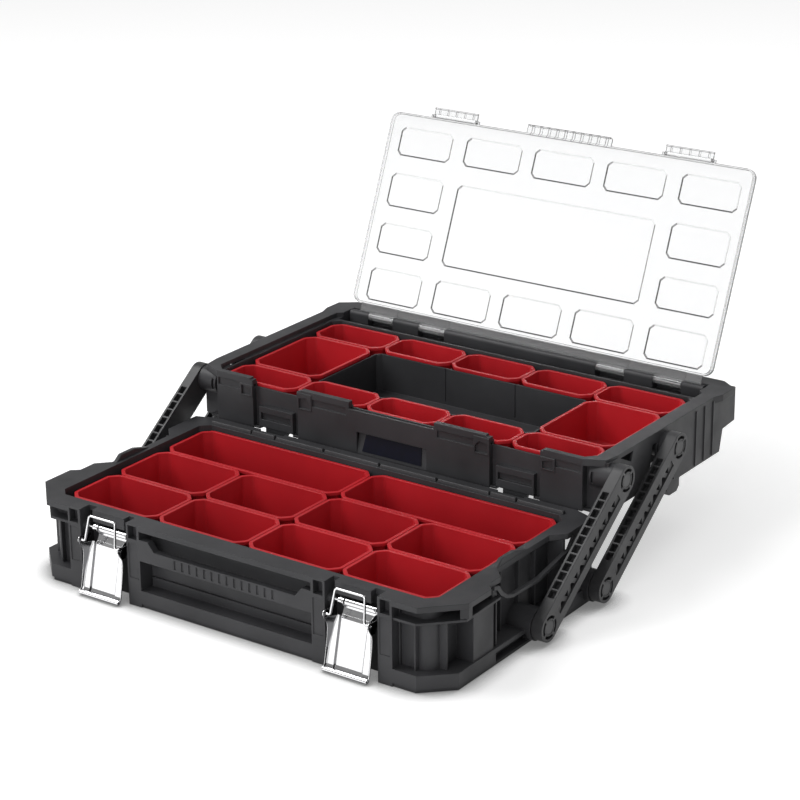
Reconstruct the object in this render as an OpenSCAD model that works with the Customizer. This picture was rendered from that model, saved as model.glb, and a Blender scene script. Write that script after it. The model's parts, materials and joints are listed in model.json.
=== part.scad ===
// Cantilever tool box. A lower box carries, on four parallel arms, an upper
// organiser with a clear lid. The box is drawn open, as it stands in use.
// Lengths are millimetres: X to the right, Y to the rear, Z up, and the origin
// is at the centre of the lower box's footprint, on the floor.
// Both boxes are drawn in a box frame of their own: Y from the front wall and
// Z from the underside. Shapes are drawn on the right and mirrored.

/* [Lower box] */
// Half of the length across the front corners of the rim
tub_half = 270; // [266:1:270]
// Depth from the front wall to the rear wall
tub_depth = 285; // [280:1:288]
// Height of the rim above the floor
tub_h = 91; // [90:0.5:94]
// Half length of the well that holds the bins
well_half = 238.5; // [237:0.5:239.5]
// Where the well starts behind the front wall
well_front = 22; // [20:1:25]
// Where the well ends
well_rear = 264; // [263:1:265]
// Wall of the well
well_wall = 3; // [2:0.5:3.5]
// Thickness of the floor
floor_t = 4; // [3:0.5:4]
// Height of the base flange
flange_h = 19; // [17:1:21]
// Half length of the base flange
flange_half = 263.6; // [262:0.2:265]
// Thickness of the rim lip
rim_t = 6; // [4:0.5:7]
// Thickness of the outer skin at the ends
skin_t = 2.5; // [2:0.1:3]

/* [Front of the lower box] */
// Half width of the carrying bar
bar_half = 107; // [100:1:107]
// Underside of the carrying bar
bar_z = 54; // [50:1:56]
// Height of the grooved face of the bar
bar_face_h = 12; // [10:1:13]
// Depth of the bar from front to back
bar_depth = 8; // [6:1:10]
// Grooves across the bar
bar_grooves = 14; // [10:1:16]
// Width of a groove
groove_w = 3; // [2:0.5:4]
// Inner edge of the latch bay, from the centre of the box
bay_in = 126.5; // [126:0.5:127]
// Outer edge of the latch bay
bay_out = 189; // [188.5:0.5:190]
// Depth of the bay's back wall behind the front
bay_depth = 19.5; // [18:0.5:19.5]
// How far the rim stands back in the bay
bay_rim_back = 6.5; // [6.5:0.5:8]
// Width of the post on each side of a bay
pier_w = 17; // [15:0.5:17]

/* [Arms] */
// Distance between an arm's two pivots
arm_len = 181.3; // [178:0.1:184]
// Angle of the arms above level when the box is open
open_angle = 36.3; // [36:0.1:37]
// Angle of the arms when the box is closed
closed_angle = 142.5; // [142:0.1:143]
// Distance between the front and rear pivots
arm_pitch = 110; // [108:1:111]
// Height of the lower pivots
pivot_z = 19.5; // [19.5:0.5:21]
// Front lower pivot, behind the front wall
pivot_y = 161; // [160:0.5:162]
// Width of an arm
arm_w = 31; // [28:1:32]
// Thickness of an arm
arm_t = 12.4; // [10:0.2:13]
// Clear space between an arm and the side of the boxes
arm_gap = 0.6; // [0.4:0.1:0.8]
// Rail along each edge of an arm
rail_w = 4; // [3:0.5:5]
// Web left at the inner face of an arm
web_t = 2.5; // [2:0.5:4]
// Radius of a pivot pin
pin_r = 5; // [4:0.25:5.5]
// Radial play of an arm on its pin
pin_play = 0.06; // [0.04:0.01:0.1]
// Radius of the head of a pivot pin
pin_head_r = 7.4; // [7:0.1:7.8]
// Radius of the bosses on the lower box
lower_boss_r = 17; // [16:0.5:17]
// Radius of the barrels on the upper box
barrel_r = 14.5; // [13:0.5:15]

/* [Upper box] */
// Half length of the upper box at its front corners
up_half = 262; // [261:0.5:263]
// Half length at the flared rear corners
up_rear_half = 269.5; // [267:0.5:270]
// Height of the upper rim above its underside
up_h = 58; // [57:0.5:60]
// Space between the two boxes when they are closed
stack_gap = 0.4; // [0.3:0.1:1]
// Wall of the upper box
up_wall = 2.2; // [1.8:0.1:2.6]
// Half length of the upper well
up_well_half = 243.5; // [243:0.5:244.5]
// Front of the upper well behind the front wall
up_well_front = 8.7; // [8.5:0.1:9]
// Rear of the upper well
up_well_rear = 230; // [229:0.5:231]
// Height of the lowered middle of the front wall
up_front_mid = 50; // [46:1:51]
// Depth of the upper latch recess
up_bay = 6.5; // [6:0.1:6.5]
// Half length of the open middle well
mid_half = 141; // [140:0.5:142]
// Front of the open middle well
mid_front = 58; // [57:0.5:60]
// Rear of the open middle well
mid_rear = 174; // [170:1:176]

/* [Bins] */
// Gap between neighbouring bins
bin_gap = 1; // [0.8:0.1:1.6]
// Wall of a bin
bin_wall = 1.5; // [1.2:0.1:2]
// Draw-in of a bin's wall per side, top to bottom
bin_draft = 3.2; // [2.6:0.1:4]
// Corner chamfer of a bin
bin_corner = 9; // [6:0.5:10]
// Width of the rolled rim
bin_rim_w = 1.6; // [1.2:0.1:2]
// Height of the rolled rim
bin_rim_h = 2.6; // [2:0.2:4]
// Clearance under a bin
bin_seat = 0.3; // [0.2:0.1:0.5]
// Top of the lower bins above the floor
low_bin_top = 86; // [80:1:86]
// Top of the upper bins above the upper box's underside
up_bin_top = 50; // [44:1:51]

/* [Lid] */
// Half width of the lid
lid_half = 243.6; // [242:0.2:244]
// Front edge of the closed lid behind the front wall
lid_front = 10.2; // [9.8:0.1:10.6]
// Rear edge of the closed lid
lid_rear = 243; // [242:0.5:244]
// Thickness of the lid
lid_t = 1.8; // [1.6:0.1:2.4]
// Depth of the skirt round the lid
lid_skirt = 4.6; // [3:0.2:5]
// Corner chamfer of the lid
lid_corner = 10.5; // [8:0.5:12]
// Clearance between the closed lid and the rim
lid_seat = 0.4; // [0.3:0.1:0.6]
// Angle through which the lid opens
lid_open = 112.7; // [100:0.1:114]
// Hinge axis behind the front wall
hinge_y = 257.4; // [257:0.1:258]
// Hinge axis above the underside of the upper box
hinge_z = 54.3; // [54:0.1:54.6]
// Radius of the hinge rod
rod_r = 1.5; // [1.2:0.1:1.8]
// Radius of the hinge knuckles
knuckle_r = 4.6; // [4:0.1:5]

/* [Latches] */
// Centre of a latch from the centre of the box
latch_x = 157.7; // [157.5:0.1:158]
// Half width of the lever over its flanges
lever_half = 27.4; // [26.5:0.1:27.6]
// Sheet thickness of the lever
sheet_t = 1.2; // [1:0.1:1.4]
// Radius of the bail wire
wire_r = 1.3; // [1.1:0.05:1.35]
// Radial play of the bail in the lever
wire_play = 0.06; // [0.04:0.01:0.1]
// Radius of the lever's hinge pin
latch_pin_r = 1.8; // [1.5:0.1:2]

/* [Hidden] */
$fn = 48;

dark = "#3a3b3e";
darker = "#2b2c2e";
bin_red = "#8e1420";
steel = "#d8dadc";
clear_tint = [0.86, 0.9, 0.92, 0.35];

eps = 0.01;
over = 1;

// Where the upper box stands when open, and its step back from closed
shift_y = arm_len * (cos(open_angle) - cos(closed_angle));
shift_z = arm_len * (sin(open_angle) - sin(closed_angle));
up_open_z = tub_h + stack_gap + shift_z;
// Upper pivots in the frame of the upper box
up_pivot_y = pivot_y + arm_len * cos(closed_angle);
up_pivot_z = pivot_z + arm_len * sin(closed_angle) - tub_h - stack_gap;
arm_in = tub_half + arm_gap;
arm_out = arm_in + arm_t;

well_x = well_half + well_wall;
rim_z = tub_h - rim_t;
shelf_z = 73;
shelf_t = 2.5;
side_x = 262;
// Stretch where the upper box's underside steps over the lower rim
step_y0 = 105;
step_y1 = 185;
panel_top = 25;
panel_back = up_well_front - up_wall - 0.2;
rear_half = 261.5;
seat_floor = up_h - 5.4;

// ---------------------------------------------------------------- helpers

// Copies its children to the left as well
module both() {
    children();
    mirror([1, 0, 0]) children();
}

// Extrudes an outline drawn in Y and Z along X, from x0 to x1
module along_x(x0, x1) {
    translate([x0, 0, 0])
        rotate([90, 0, 90])
            linear_extrude(x1 - x0) children();
}

// Extrudes an outline drawn in X and Z along Y, from y0 to y1
module along_y(y0, y1) {
    translate([0, y1, 0])
        rotate([90, 0, 0])
            linear_extrude(y1 - y0) children();
}

// Extrudes a plan outline from z0 to z1
module plan(z0, z1) {
    translate([0, 0, z0]) linear_extrude(z1 - z0) children();
}

// A box between two corners
module block(a, b) {
    translate(a) cube([b[0] - a[0], b[1] - a[1], b[2] - a[2]]);
}

// A cylinder along X between x0 and x1, at y and z
module rod_x(x0, x1, y, z, r) {
    translate([x0, y, z])
        rotate([0, 90, 0]) cylinder(h = x1 - x0, r = r);
}

// The right half's points followed by their mirror images
function mirrored(pts) =
    concat(pts, [for (i = [len(pts) - 1:-1:0]) [-pts[i][0], pts[i][1]]]);

// A rectangle with its corners cut off
function cut_rect(x0, y0, x1, y1, c) = [
    [x0 + c, y0], [x1 - c, y0], [x1, y0 + c], [x1, y1 - c],
    [x1 - c, y1], [x0 + c, y1], [x0, y1 - c], [x0, y0 + c]
];

// Puts the lower box's frame in the part's frame
module place_lower() {
    translate([0, -tub_depth / 2, 0]) children();
}

// Puts the upper box's frame in the part's frame, open
module place_upper() {
    translate([0, shift_y - tub_depth / 2, up_open_z]) children();
}

// Turns the closed lid's frame open about the hinge axis
module place_lid() {
    place_upper()
        translate([0, hinge_y, hinge_z])
            rotate([-lid_open, 0, 0])
                translate([0, -hinge_y, -hinge_z]) children();
}

// Left or right: the side is 1 or -1
module on_side(side) {
    if (side > 0) children();
    else mirror([1, 0, 0]) children();
}

// --------------------------------------------------------------- lower box

module base_outline(inset) {
    front = inset;
    rear = tub_depth - inset;
    half = flange_half - inset;
    polygon(mirrored([
        [half - 30, front], [half, front + 28.5], [half, rear - 9], [half - 24, rear]
    ]));
}

module rim_outline() {
    polygon(mirrored([
        [tub_half - 35, 0], [tub_half, 36], [tub_half, 75], [rear_half, 82],
        [rear_half, 104], [248, 118], [248, 214], [rear_half, 228],
        [rear_half, tub_depth - 9], [rear_half - 24, tub_depth]
    ]));
}

module well_outline(grow) {
    polygon(cut_rect(
        -well_half - grow, well_front - grow, well_half + grow, well_rear + grow, 10 + grow * 0.4
    ));
}

// The set-back wall that shows at the front corners
module corner_wall() {
    plan(0, rim_z + eps) {
        difference() {
            union() {
                polygon([[200, 15], [228, 15], [228, 40], [200, 40]]);
                translate([228, 29]) circle(r = 14);
                polygon([[228, 29], [242, 29], [242, 60], [228, 60]]);
            }
            well_outline(0);
        }
    }
}

// Shelf under the corner window, with its posts and ribs
module corner_shelf() {
    plan(shelf_z - shelf_t, shelf_z)
        difference() {
            polygon([[204, 1.5], [232, 1.5], [267, 37], [266, 98], [236, 98], [236, 30], [204, 22]]);
            well_outline(0);
        }
    plan(shelf_z - eps, rim_z + eps)
        polygon([[262, 33], [268, 39], [267.5, 46], [262, 46]]);
    block([205, 12, flange_h - eps], [207, 24, rim_z + eps]);
    block([225, 9, flange_h - eps], [227, 16, shelf_z]);
    block([240, 28, flange_h - eps], [250, 30, shelf_z]);
}

// Side post between the corner and the arms
module side_post() {
    block([240, 56, floor_t], [side_x, 91, shelf_z]);
    block([240, 89, shelf_z - eps], [side_x, 91, rim_z + eps]);
}

// Outer skin behind the arms, and the curved rail that bounds the open bay
module side_skin() {
    along_x(side_x - skin_t - 0.5, side_x - 0.5)
        polygon([
            [215, 5], [215, 70], [228, 72.5], [240, rim_z + 1], [tub_depth - 10, rim_z + 1],
            [tub_depth - 10, 5]
        ]);
    along_x(side_x - skin_t - 0.5, side_x + 1.6)
        polygon([
            [90, 81.5], [95, 80.5], [102, 72], [112, 65], [124, 61.6], [172, 60.4], [228, 70.5],
            [226.5, 74], [171.8, 64], [125, 65], [114, 68.4], [105.5, 75], [99, 83.6], [90, rim_z + 1]
        ]);
    // wall of the window at the front of the rail
    along_x(side_x - skin_t - 0.5, side_x - 0.5) polygon([[90, 66], [90, 82], [96, 80], [98, 74], [93, 66]]);
    // second post
    block([side_x - 3, 213, flange_h - eps], [flange_half, 240, 70]);
    // rear return
    block([well_half, tub_depth - 12, flange_h - eps], [side_x - 0.5, tub_depth - 9, rim_z + eps]);
}

// Thin ribs in the side bay, clear of the upper box's foot
module side_ribs() {
    for (y = [110, 127, 160, 190]) block([well_x - eps, y, flange_h - eps], [246.5, y + 1.8, rim_z]);
    block([well_x - eps, 222, flange_h - eps], [side_x - 2, 224, rim_z]);
    block([well_x - eps, 98, flange_h - eps], [side_x - 2, 100, rim_z - 8]);
}

// Round bosses that carry the lower pivots
module lower_bosses() {
    for (y = [pivot_y, pivot_y + arm_pitch])
        rod_x(well_x - 1, tub_half, y, pivot_z, lower_boss_r);
}

// Pocket at the top of a pier
module pier_pocket(x) {
    block([x + 3, -over, 74.5], [x + pier_w - 2.5, 9, tub_h - 1.8]);
}

// Posts on both sides of a latch bay, with their pockets
module piers() {
    for (x = [bay_in - pier_w, bay_out])
        difference() {
            block([x, 0, 0], [x + pier_w, well_front - 1, rim_z + eps]);
            pier_pocket(x);
            block([x + 2.2, -over, flange_h + 12], [x + pier_w - 2.2, 0.8, 70]);
        }
}

// Lugs that hold the lever's hinge pin
module latch_lugs() {
    translate([latch_x, 0, 0])
        both()
            along_x(lever_half + 0.6, bay_out - latch_x + eps) {
                translate([lever_axis[0], lever_axis[1]]) circle(r = 4.6);
                translate([lever_axis[0], lever_axis[1] - 4.6]) square([bay_depth - lever_axis[0] + 1, 9.2]);
            }
}

// The bar across the middle of the front, with its grooves
module carrying_bar() {
    groove_pitch = 2 * 62.5 / (bar_grooves - 1);
    bar_end = bay_in - pier_w + 1;
    // step in the back wall under the bar
    block([-bar_half - 1.5, bay_depth - 2.5, flange_h - eps], [bar_half + 1.5, bay_depth + 1, 29]);
    difference() {
        along_y(0, bar_depth)
            polygon(mirrored([
                [90, bar_z - 1.5], [bar_end, bar_z - 1.5], [bar_end, 76], [98, 76],
                [90, bar_z + bar_face_h]
            ]));
        for (i = [0:bar_grooves - 1])
            block(
                [-62.5 + i * groove_pitch - groove_w / 2, -over, bar_z + 0.5],
                [-62.5 + i * groove_pitch + groove_w / 2, 1, bar_z + bar_face_h - 1.5]
            );
    }
}

module rear_ribs() {
    for (x = [40, 120, 200])
        block([x - 2, well_rear, flange_h - eps], [x + 2, tub_depth - 3, rim_z + eps]);
}

module lower_tub() {
    color(dark) place_lower()
        difference() {
            union() {
                plan(0, floor_t) base_outline(1.5);
                plan(floor_t - eps, flange_h) base_outline(0);
                plan(0, rim_z + eps) well_outline(well_wall);
                plan(rim_z, tub_h) rim_outline();
                both() {
                    corner_wall();
                    corner_shelf();
                    side_post();
                    side_skin();
                    side_ribs();
                    lower_bosses();
                    rear_ribs();
                }
            }
            // well for the bins
            plan(floor_t, tub_h + over) well_outline(0);
            // hand space behind the bar, cut from the flange top to the rim
            block([-bar_half - 1, -over, flange_h], [bar_half + 1, bay_depth, rim_z - 2]);
            both() {
                for (x = [bay_in - pier_w, bay_out]) pier_pocket(x);
                // latch bay
                block([bay_in, -over, -over], [bay_out, bay_depth, rim_z]);
                block([bay_in, -over, -over], [bay_out, bay_rim_back, tub_h + over]);
                block([bay_in, -over, rim_z - 7], [latch_x - 23.5, bay_depth - 4, tub_h + over]);
                block([latch_x + 19.5, -over, rim_z - 7], [bay_out, bay_depth - 4, tub_h + over]);
                // slot under the side ledge
                block([side_x - 7, 93, floor_t], [flange_half + over, 153, flange_h - 5]);
                // way of the keeper's hook past the rear rim
                block([latch_x - 17, tub_depth - 4, 86.5], [latch_x + 17, tub_depth + over, tub_h + over]);
                for (y = [pivot_y, pivot_y + arm_pitch])
                    rod_x(well_x + 8, tub_half + over, y, pivot_z, pin_r + pin_play);
            }
        }
    color(dark) place_lower() {
        carrying_bar();
        both() {
            piers();
            latch_lugs_bored();
            // face of the rim inside the latch bay
            block([latch_x - 23.5, bay_rim_back, 78], [latch_x + 19.5, bay_rim_back + 3, rim_z + eps]);
        }
    }
}

module latch_lugs_bored() {
    difference() {
        latch_lugs();
        rod_x(bay_in - 3, bay_out + 3, lever_axis[0], lever_axis[1], latch_pin_r + wire_play);
    }
}

// ------------------------------------------------------------------- arms

// Outline of an arm from its lower pivot at the origin, along Y
module arm_outline(w) {
    circle(r = w / 2);
    translate([0, -w / 2]) square([arm_len, w]);
    translate([arm_len, 0]) circle(r = w / 2);
}

// Four arcs of a groove round a hub
module hub_grooves(depth) {
    for (a = [0:90:270])
        rotate([0, 0, a + 8])
            rotate_extrude(angle = 74)
                translate([9.2, -depth]) square([3.2, depth + over]);
}

// An arm standing on its inner face, with its length along Y
module arm_flat() {
    tooth = 11;
    run0 = 24;
    cells = floor((arm_len - 2 * run0) / tooth);
    inner = arm_w / 2 - rail_w;
    difference() {
        linear_extrude(arm_t) arm_outline(arm_w);
        for (i = [0:cells - 1]) {
            // ladder of cells along the upper edge
            translate([run0 + i * tooth, arm_w / 2 - 7, web_t])
                cube([tooth - 2, 8, arm_t - 2 * web_t]);
            // triangular pockets along the outer face
            translate([run0 + i * tooth, -5.5, web_t])
                linear_extrude(arm_t)
                    polygon(i % 2 == 0 ?
                        [[0.6, 0], [tooth - 0.6, 0], [tooth / 2, 9]] :
                        [[0.6, 9], [tooth - 0.6, 9], [tooth / 2, 0]]);
        }
        // step between the lattice and the broad rail
        translate([run0 - 4, -5.5, arm_t - 1.2]) cube([arm_len - 2 * run0 + 8, 9, 2]);
        for (p = [0, arm_len])
            translate([p, 0, 0]) {
                cylinder(h = 3 * arm_t, r = pin_r + pin_play, center = true);
                translate([0, 0, arm_t - 2]) cylinder(h = 4, r = pin_head_r + 0.3);
                translate([0, 0, arm_t]) hub_grooves(4);
            }
    }
}

module arm(side, y) {
    color(dark) place_lower()
        on_side(side)
            translate([arm_in, y, pivot_z])
                rotate([open_angle, 0, 0])
                    rotate([90, 0, 90]) arm_flat();
}

// A pin from inside its boss to the outer face of the arm
module pivot_pin(y, z, root) {
    rod_x(root, arm_out - 1, y, z, pin_r);
    rod_x(arm_out - 1.9, arm_out - 0.2, y, z, pin_head_r);
}

module lower_pivot_pins() {
    color(darker) place_lower()
        both()
            for (y = [pivot_y, pivot_y + arm_pitch]) pivot_pin(y, pivot_z, well_x + 9);
}

module upper_pivot_pins() {
    color(darker) place_upper()
        both()
            for (y = [up_pivot_y, up_pivot_y + arm_pitch]) pivot_pin(y, up_pivot_z, 249);
}

// -------------------------------------------------------------- upper box

module up_outline() {
    polygon(mirrored([
        [240, 0], [up_half, 10], [265, 30], [265, 232], [up_rear_half, 246],
        [up_rear_half, tub_depth - 14], [250, tub_depth]
    ]));
}

module up_well(grow) {
    polygon(cut_rect(
        -up_well_half - grow, up_well_front - grow, up_well_half + grow, up_well_rear + grow,
        9 + grow * 0.4
    ));
}

// Front wall between the corner posts, with its raised lips and latch recesses
module up_front() {
    difference() {
        union() {
            // middle stretch
            along_y(0, 3)
                polygon(mirrored([
                    [bay_in, 0], [bay_in, up_h - 3], [124, up_h - 1], [58, up_h - 1], [56, up_front_mid]
                ]));
            both() {
                // outer stretch and the bay's sides
                along_y(0, 3)
                    polygon([
                        [bay_out, 0], [240, 0], [240, up_h - 2], [194, up_h - 2], [bay_out, up_h - 8]
                    ]);
                block([bay_in - 2, 0, 0], [bay_in, up_well_front, up_h - 11]);
                block([bay_out, 0, 0], [bay_out + 2, up_well_front, up_h - 11]);
                block([bay_in - 1, up_bay, 0], [bay_out + 1, up_well_front, up_h - 11]);
                // floor of the recess beside the keeper
                block([bay_in - 1, 1, 0], [latch_x - 23, up_bay + 1, 2.5]);
                block([latch_x + 23, 1, 0], [bay_out + 1, up_bay + 1, 2.5]);
                // raised pocket frames
                block([bay_in - 19.5, -0.8, 36], [bay_in, 0, up_h - 3]);
                block([bay_out, -0.8, 36], [bay_out + 18, 0, up_h - 8]);
            }
        }
        both() {
            // pockets in the lips
            along_y(-over, 1.6) polygon([[192, 37.5], [204.5, 37.5], [204.5, 48.6], [192, 45]]);
            along_y(-over, 1.6) polygon([[108.5, 37], [124, 37], [124, 48], [114, 50], [108.5, 44]]);
            block([60, -over, 42], [106, 1.8, up_h - 4]);
            block([207, -over, 42], [238, 1.8, up_h - 6]);
        }
        // place of the sloped panel
        block([-46, -over, 1], [46, 3 + over, panel_top + 0.5]);
    }
    // sloped panel that carries the label
    along_x(-46.5, 46.5)
        polygon([
            [0, 1], [panel_back, panel_top], [0, panel_top + 0.5], [0, panel_top + 2.5],
            [up_well_front + 0.4, panel_top + 2.5], [up_well_front + 0.4, 0], [0, 0]
        ]);
}

// Corner of the front, with the barrel that carries the front pivot
module up_corner() {
    block([238, 0, 0], [240.2, 12, up_h - 4]);
    block([238, 9, 0], [side_x, 12, up_h - 3]);
    // small shelf at the foot of the corner
    block([240, 3, 0], [252, 12, 3]);
    rod_x(up_well_half + 2, tub_half, up_pivot_y, up_pivot_z, barrel_r);
}

// Outer side wall with its stepped lower edge
module up_side() {
    difference() {
        along_x(side_x + 0.2, 265)
            polygon([
                [10, 0], [140, 0], [152, -11], [250, -11], [256, 14], [tub_depth - 2, 16],
                [tub_depth - 2, up_h - 3], [10, up_h - 3]
            ]);
        // opening round the lower half of the rear barrel
        along_x(side_x - over, 265 + over)
            polygon([[96, 20], [110, 20], [110, 46], [100, 46]]);
    }
    rod_x(up_well_half + 2, tub_half, up_pivot_y + arm_pitch, up_pivot_z, barrel_r);
    // ribs behind the rear barrel
    for (y = [193, 212, 231]) block([264.9, y, -9], [266.2, y + 2, up_h - 4]);
    // cross ribs between the side wall and the well
    for (y = [60, 195, 225]) block([up_well_half, y, 14], [side_x + 1, y + 2, up_h - 3]);
}

// Tapered foot that drops into the lower box's side bay
module foot() {
    along_x(249.5, 258.2)
        polygon([[146, 20], [146, -24], [152, -31], [168, -31], [173, -26], [173, 20]]);
    block([up_well_half, 152, 0], [250, 166, 20]);
    block([258, 152, -9], [side_x + 1, 166, 20]);
}

// Blocks between the lid's knuckles
module hinge_blocks() {
    difference() {
        for (span = [[0, 103], [140.4, 177], [213, 240]])
            along_x(span[0], span[1]) {
                translate([hinge_y, hinge_z]) circle(r = knuckle_r);
                translate([hinge_y - knuckle_r, up_h - 18]) square([2 * knuckle_r, hinge_z - up_h + 18]);
            }
        rod_x(90, 230, hinge_y, hinge_z, rod_r + wire_play);
    }
}

// Slanted wall inside the well, over the step in the underside
module under_step() {
    along_y(step_y0 - 2, step_y1 + 2)
        polygon([[234.85, 1], [246, 1], [246, 12.1], [244.5, 12.1]]);
}

module upper_tub() {
    color(dark) place_upper() {
        difference() {
            union() {
                plan(up_h - 7.5, up_h) up_outline();
                plan(0, up_h - 4 + eps) up_well(up_wall);
                // rear shell behind the well
                block([-246, up_well_rear - 1, 0], [246, tub_depth - 8, up_h - 4 + eps]);
                both() {
                    up_corner();
                    up_side();
                    foot();
                }
                block([-side_x, tub_depth - 5, 14], [side_x, tub_depth - 2, up_h - 3]);
            }
            // wells for the bins, and the open middle
            difference() {
                plan(up_wall, up_h + over) up_well(0);
                difference() {
                    plan(0, up_h - 12)
                        polygon(cut_rect(
                            -mid_half - up_wall, mid_front - up_wall,
                            mid_half + up_wall, mid_rear + up_wall, 6
                        ));
                    plan(-over, up_h) polygon(cut_rect(-mid_half, mid_front, mid_half, mid_rear, 5));
                }
                both() under_step();
            }
            // hollow under the hinge trough and behind it
            block([-243, up_well_rear + up_wall, -over], [243, tub_depth - 11, up_h - 18.5]);
            block([-243, hinge_y + 10.5, -over], [243, tub_depth - 11, up_h - 7]);
            // seat of the lid, and the trough of its hinge
            plan(seat_floor, up_h + over)
                polygon(cut_rect(-248, up_well_front - 2, 248, lid_rear + 4, 10));
            block([-242, up_well_rear + 3, up_h - 16], [242, hinge_y + 8, up_h + over]);
            // lowered middle of the front
            block([-56, -over, up_front_mid], [56, up_well_front + 1, up_h + over]);
            both() {
                block([bay_in, -over, up_h - 11], [bay_out, up_well_front + 1, up_h + over]);
                block([bay_in, -over, -over], [bay_out, up_bay, up_h + over]);
                // way of the clip's lugs
                block([bay_in - 5, -over, up_h - 2], [bay_out + 3.5, up_well_front + 1, up_h + over]);
                // panel lines on the long walls of the middle well
                for (y = [mid_front - 0.8, mid_rear - eps]) block([46.4, y, 6], [47.6, y + 0.8 + eps, up_h]);
                // step in the underside, over the side of the lower rim
                along_y(step_y0, step_y1)
                    polygon([[235.5, -over], [249.4, -over], [249.4, 11.5], [246.5, 11.5], [236.5, 0]]);
                // pocket under the front corner of the rim
                along_x(up_well_half + 3, side_x + 6)
                    polygon([[34, up_h - 5], [60, up_h - 5], [56, up_h - 16]]);
                rod_x(248, tub_half + over, up_pivot_y, up_pivot_z, pin_r + pin_play);
                rod_x(248, tub_half + over, up_pivot_y + arm_pitch, up_pivot_z, pin_r + pin_play);
                // slot near the inner end of the front barrel
                block([248, -over, up_pivot_z - 6], [251, 6, up_pivot_z + 6]);
            }
        }
        up_front();
        both() hinge_blocks();
    }
}

// Bare plate on the sloped panel
module label_plate() {
    slope = atan2(panel_top - 1, panel_back);
    color(darker) place_upper()
        translate([0, 0, 1])
            rotate([slope, 0, 0])
                translate([0, 12.8, 0.1])
                    linear_extrude(0.8)
                        polygon(mirrored([[39, -9.5], [36.5, 9.5]]));
}

// Keeper that the bail hooks under, with the dark slot in its box
module catch_keeper(side) {
    color(dark) place_upper()
        on_side(side)
            translate([latch_x, 0, 0]) {
                difference() {
                    block([-23.5, 0.6, 3], [23.5, up_bay, 27]);
                    block([-21, -over, 12], [21, 4.5, 20]);
                }
                along_x(-15, 15)
                    polygon([
                        [0, -7.2], [0, -6.2], [1.2, -5.2], [1.2, 3 + eps], [up_bay, 3 + eps],
                        [up_bay, 0.3], [4.9, -0.2], [0.6, -7.2]
                    ]);
            }
}

// -------------------------------------------------------------------- bins

// A rectangle with cut corners at a height, as points in space
function ring(w, d, c, z) =
    [for (p = cut_rect(-w / 2, -d / 2, w / 2, d / 2, c)) [p[0], p[1], z]];

// A closed solid between two such rings, the lower one first
module drafted(low, high) {
    n = len(low);
    polyhedron(
        points = concat(low, high),
        faces = concat(
            [[for (i = [0:n - 1]) i]],
            [[for (i = [n - 1:-1:0]) n + i]],
            [for (i = [0:n - 1]) [i, n + i, n + (i + 1) % n, (i + 1) % n]]
        )
    );
}

// A bin centred on the origin with its rim at the given height
module bin(w, d, top) {
    outer_w = w - 2 * bin_rim_w;
    outer_d = d - 2 * bin_rim_w;
    inner_w = outer_w - 2 * bin_wall;
    inner_d = outer_d - 2 * bin_wall;
    inner_corner = bin_corner - bin_wall / 2;
    // the inside runs on above the rim at the same slope
    extra = bin_draft * over / top;
    color(bin_red) {
        difference() {
            drafted(
                ring(outer_w - 2 * bin_draft, outer_d - 2 * bin_draft, bin_corner, 0),
                ring(outer_w, outer_d, bin_corner, top)
            );
            drafted(
                ring(inner_w - 2 * bin_draft, inner_d - 2 * bin_draft, inner_corner, bin_wall),
                ring(inner_w + 2 * extra, inner_d + 2 * extra, inner_corner, top + over)
            );
        }
        translate([0, 0, top - bin_rim_h])
            linear_extrude(bin_rim_h)
                difference() {
                    polygon(cut_rect(-w / 2, -d / 2, w / 2, d / 2, bin_corner));
                    polygon(cut_rect(
                        -w / 2 + bin_rim_w + 0.9, -d / 2 + bin_rim_w + 0.9,
                        w / 2 - bin_rim_w - 0.9, d / 2 - bin_rim_w - 0.9, bin_corner
                    ));
                }
    }
}

// A bin in the cell between two corners
module bin_in(x0, y0, x1, y1, seat, top) {
    translate([(x0 + x1) / 2, (y0 + y1) / 2, seat])
        bin(x1 - x0 - bin_gap, y1 - y0 - bin_gap, top - seat);
}

low_rows = [30.5, 105.5, 186, 262.5];
low_edges = [-234.5, -117, 0, 117, 234.5];
up_edges = [-240.5, -141, -47, 47, 141, 240.5];
up_rows = [9.2, 57.5, 174.5, 228.5];

module lower_bin(row, i, last) {
    place_lower()
        bin_in(
            low_edges[i - 1], low_rows[row], low_edges[last], low_rows[row + 1],
            floor_t + bin_seat, low_bin_top
        );
}

module lower_bin_front(i) lower_bin(0, i, i);
module lower_bin_middle(i) lower_bin(1, i, i);
module lower_bin_rear(i) lower_bin(2, 2 * i - 1, 2 * i);

module upper_bin(x0, y0, x1, y1) {
    place_upper() bin_in(x0, y0, x1, y1, up_wall + bin_seat, up_bin_top);
}

module upper_bin_front(i) upper_bin(up_edges[i - 1], up_rows[0], up_edges[i], up_rows[1]);
module upper_bin_rear(i) upper_bin(up_edges[i - 1], up_rows[2], up_edges[i], up_rows[3]);
module upper_bin_side(i) {
    if (i == 1) upper_bin(-240.5, up_rows[1] + 1, -mid_half - 3, up_rows[2] - 1);
    else upper_bin(mid_half + 3, up_rows[1] + 1, 240.5, up_rows[2] - 1);
}

// --------------------------------------------------------------------- lid

lid_z = up_h + lid_seat;
clip_axis = [7.4, lid_z + lid_t / 2];

// A thin raised frame on the lid
module lid_frame(x0, y0, x1, y1, c) {
    plan(lid_z + lid_t - eps, lid_z + lid_t + 0.7)
        difference() {
            polygon(cut_rect(x0, y0, x1, y1, c));
            polygon(cut_rect(x0 + 1.2, y0 + 1.2, x1 - 1.2, y1 - 1.2, c - 0.4));
        }
}

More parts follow.
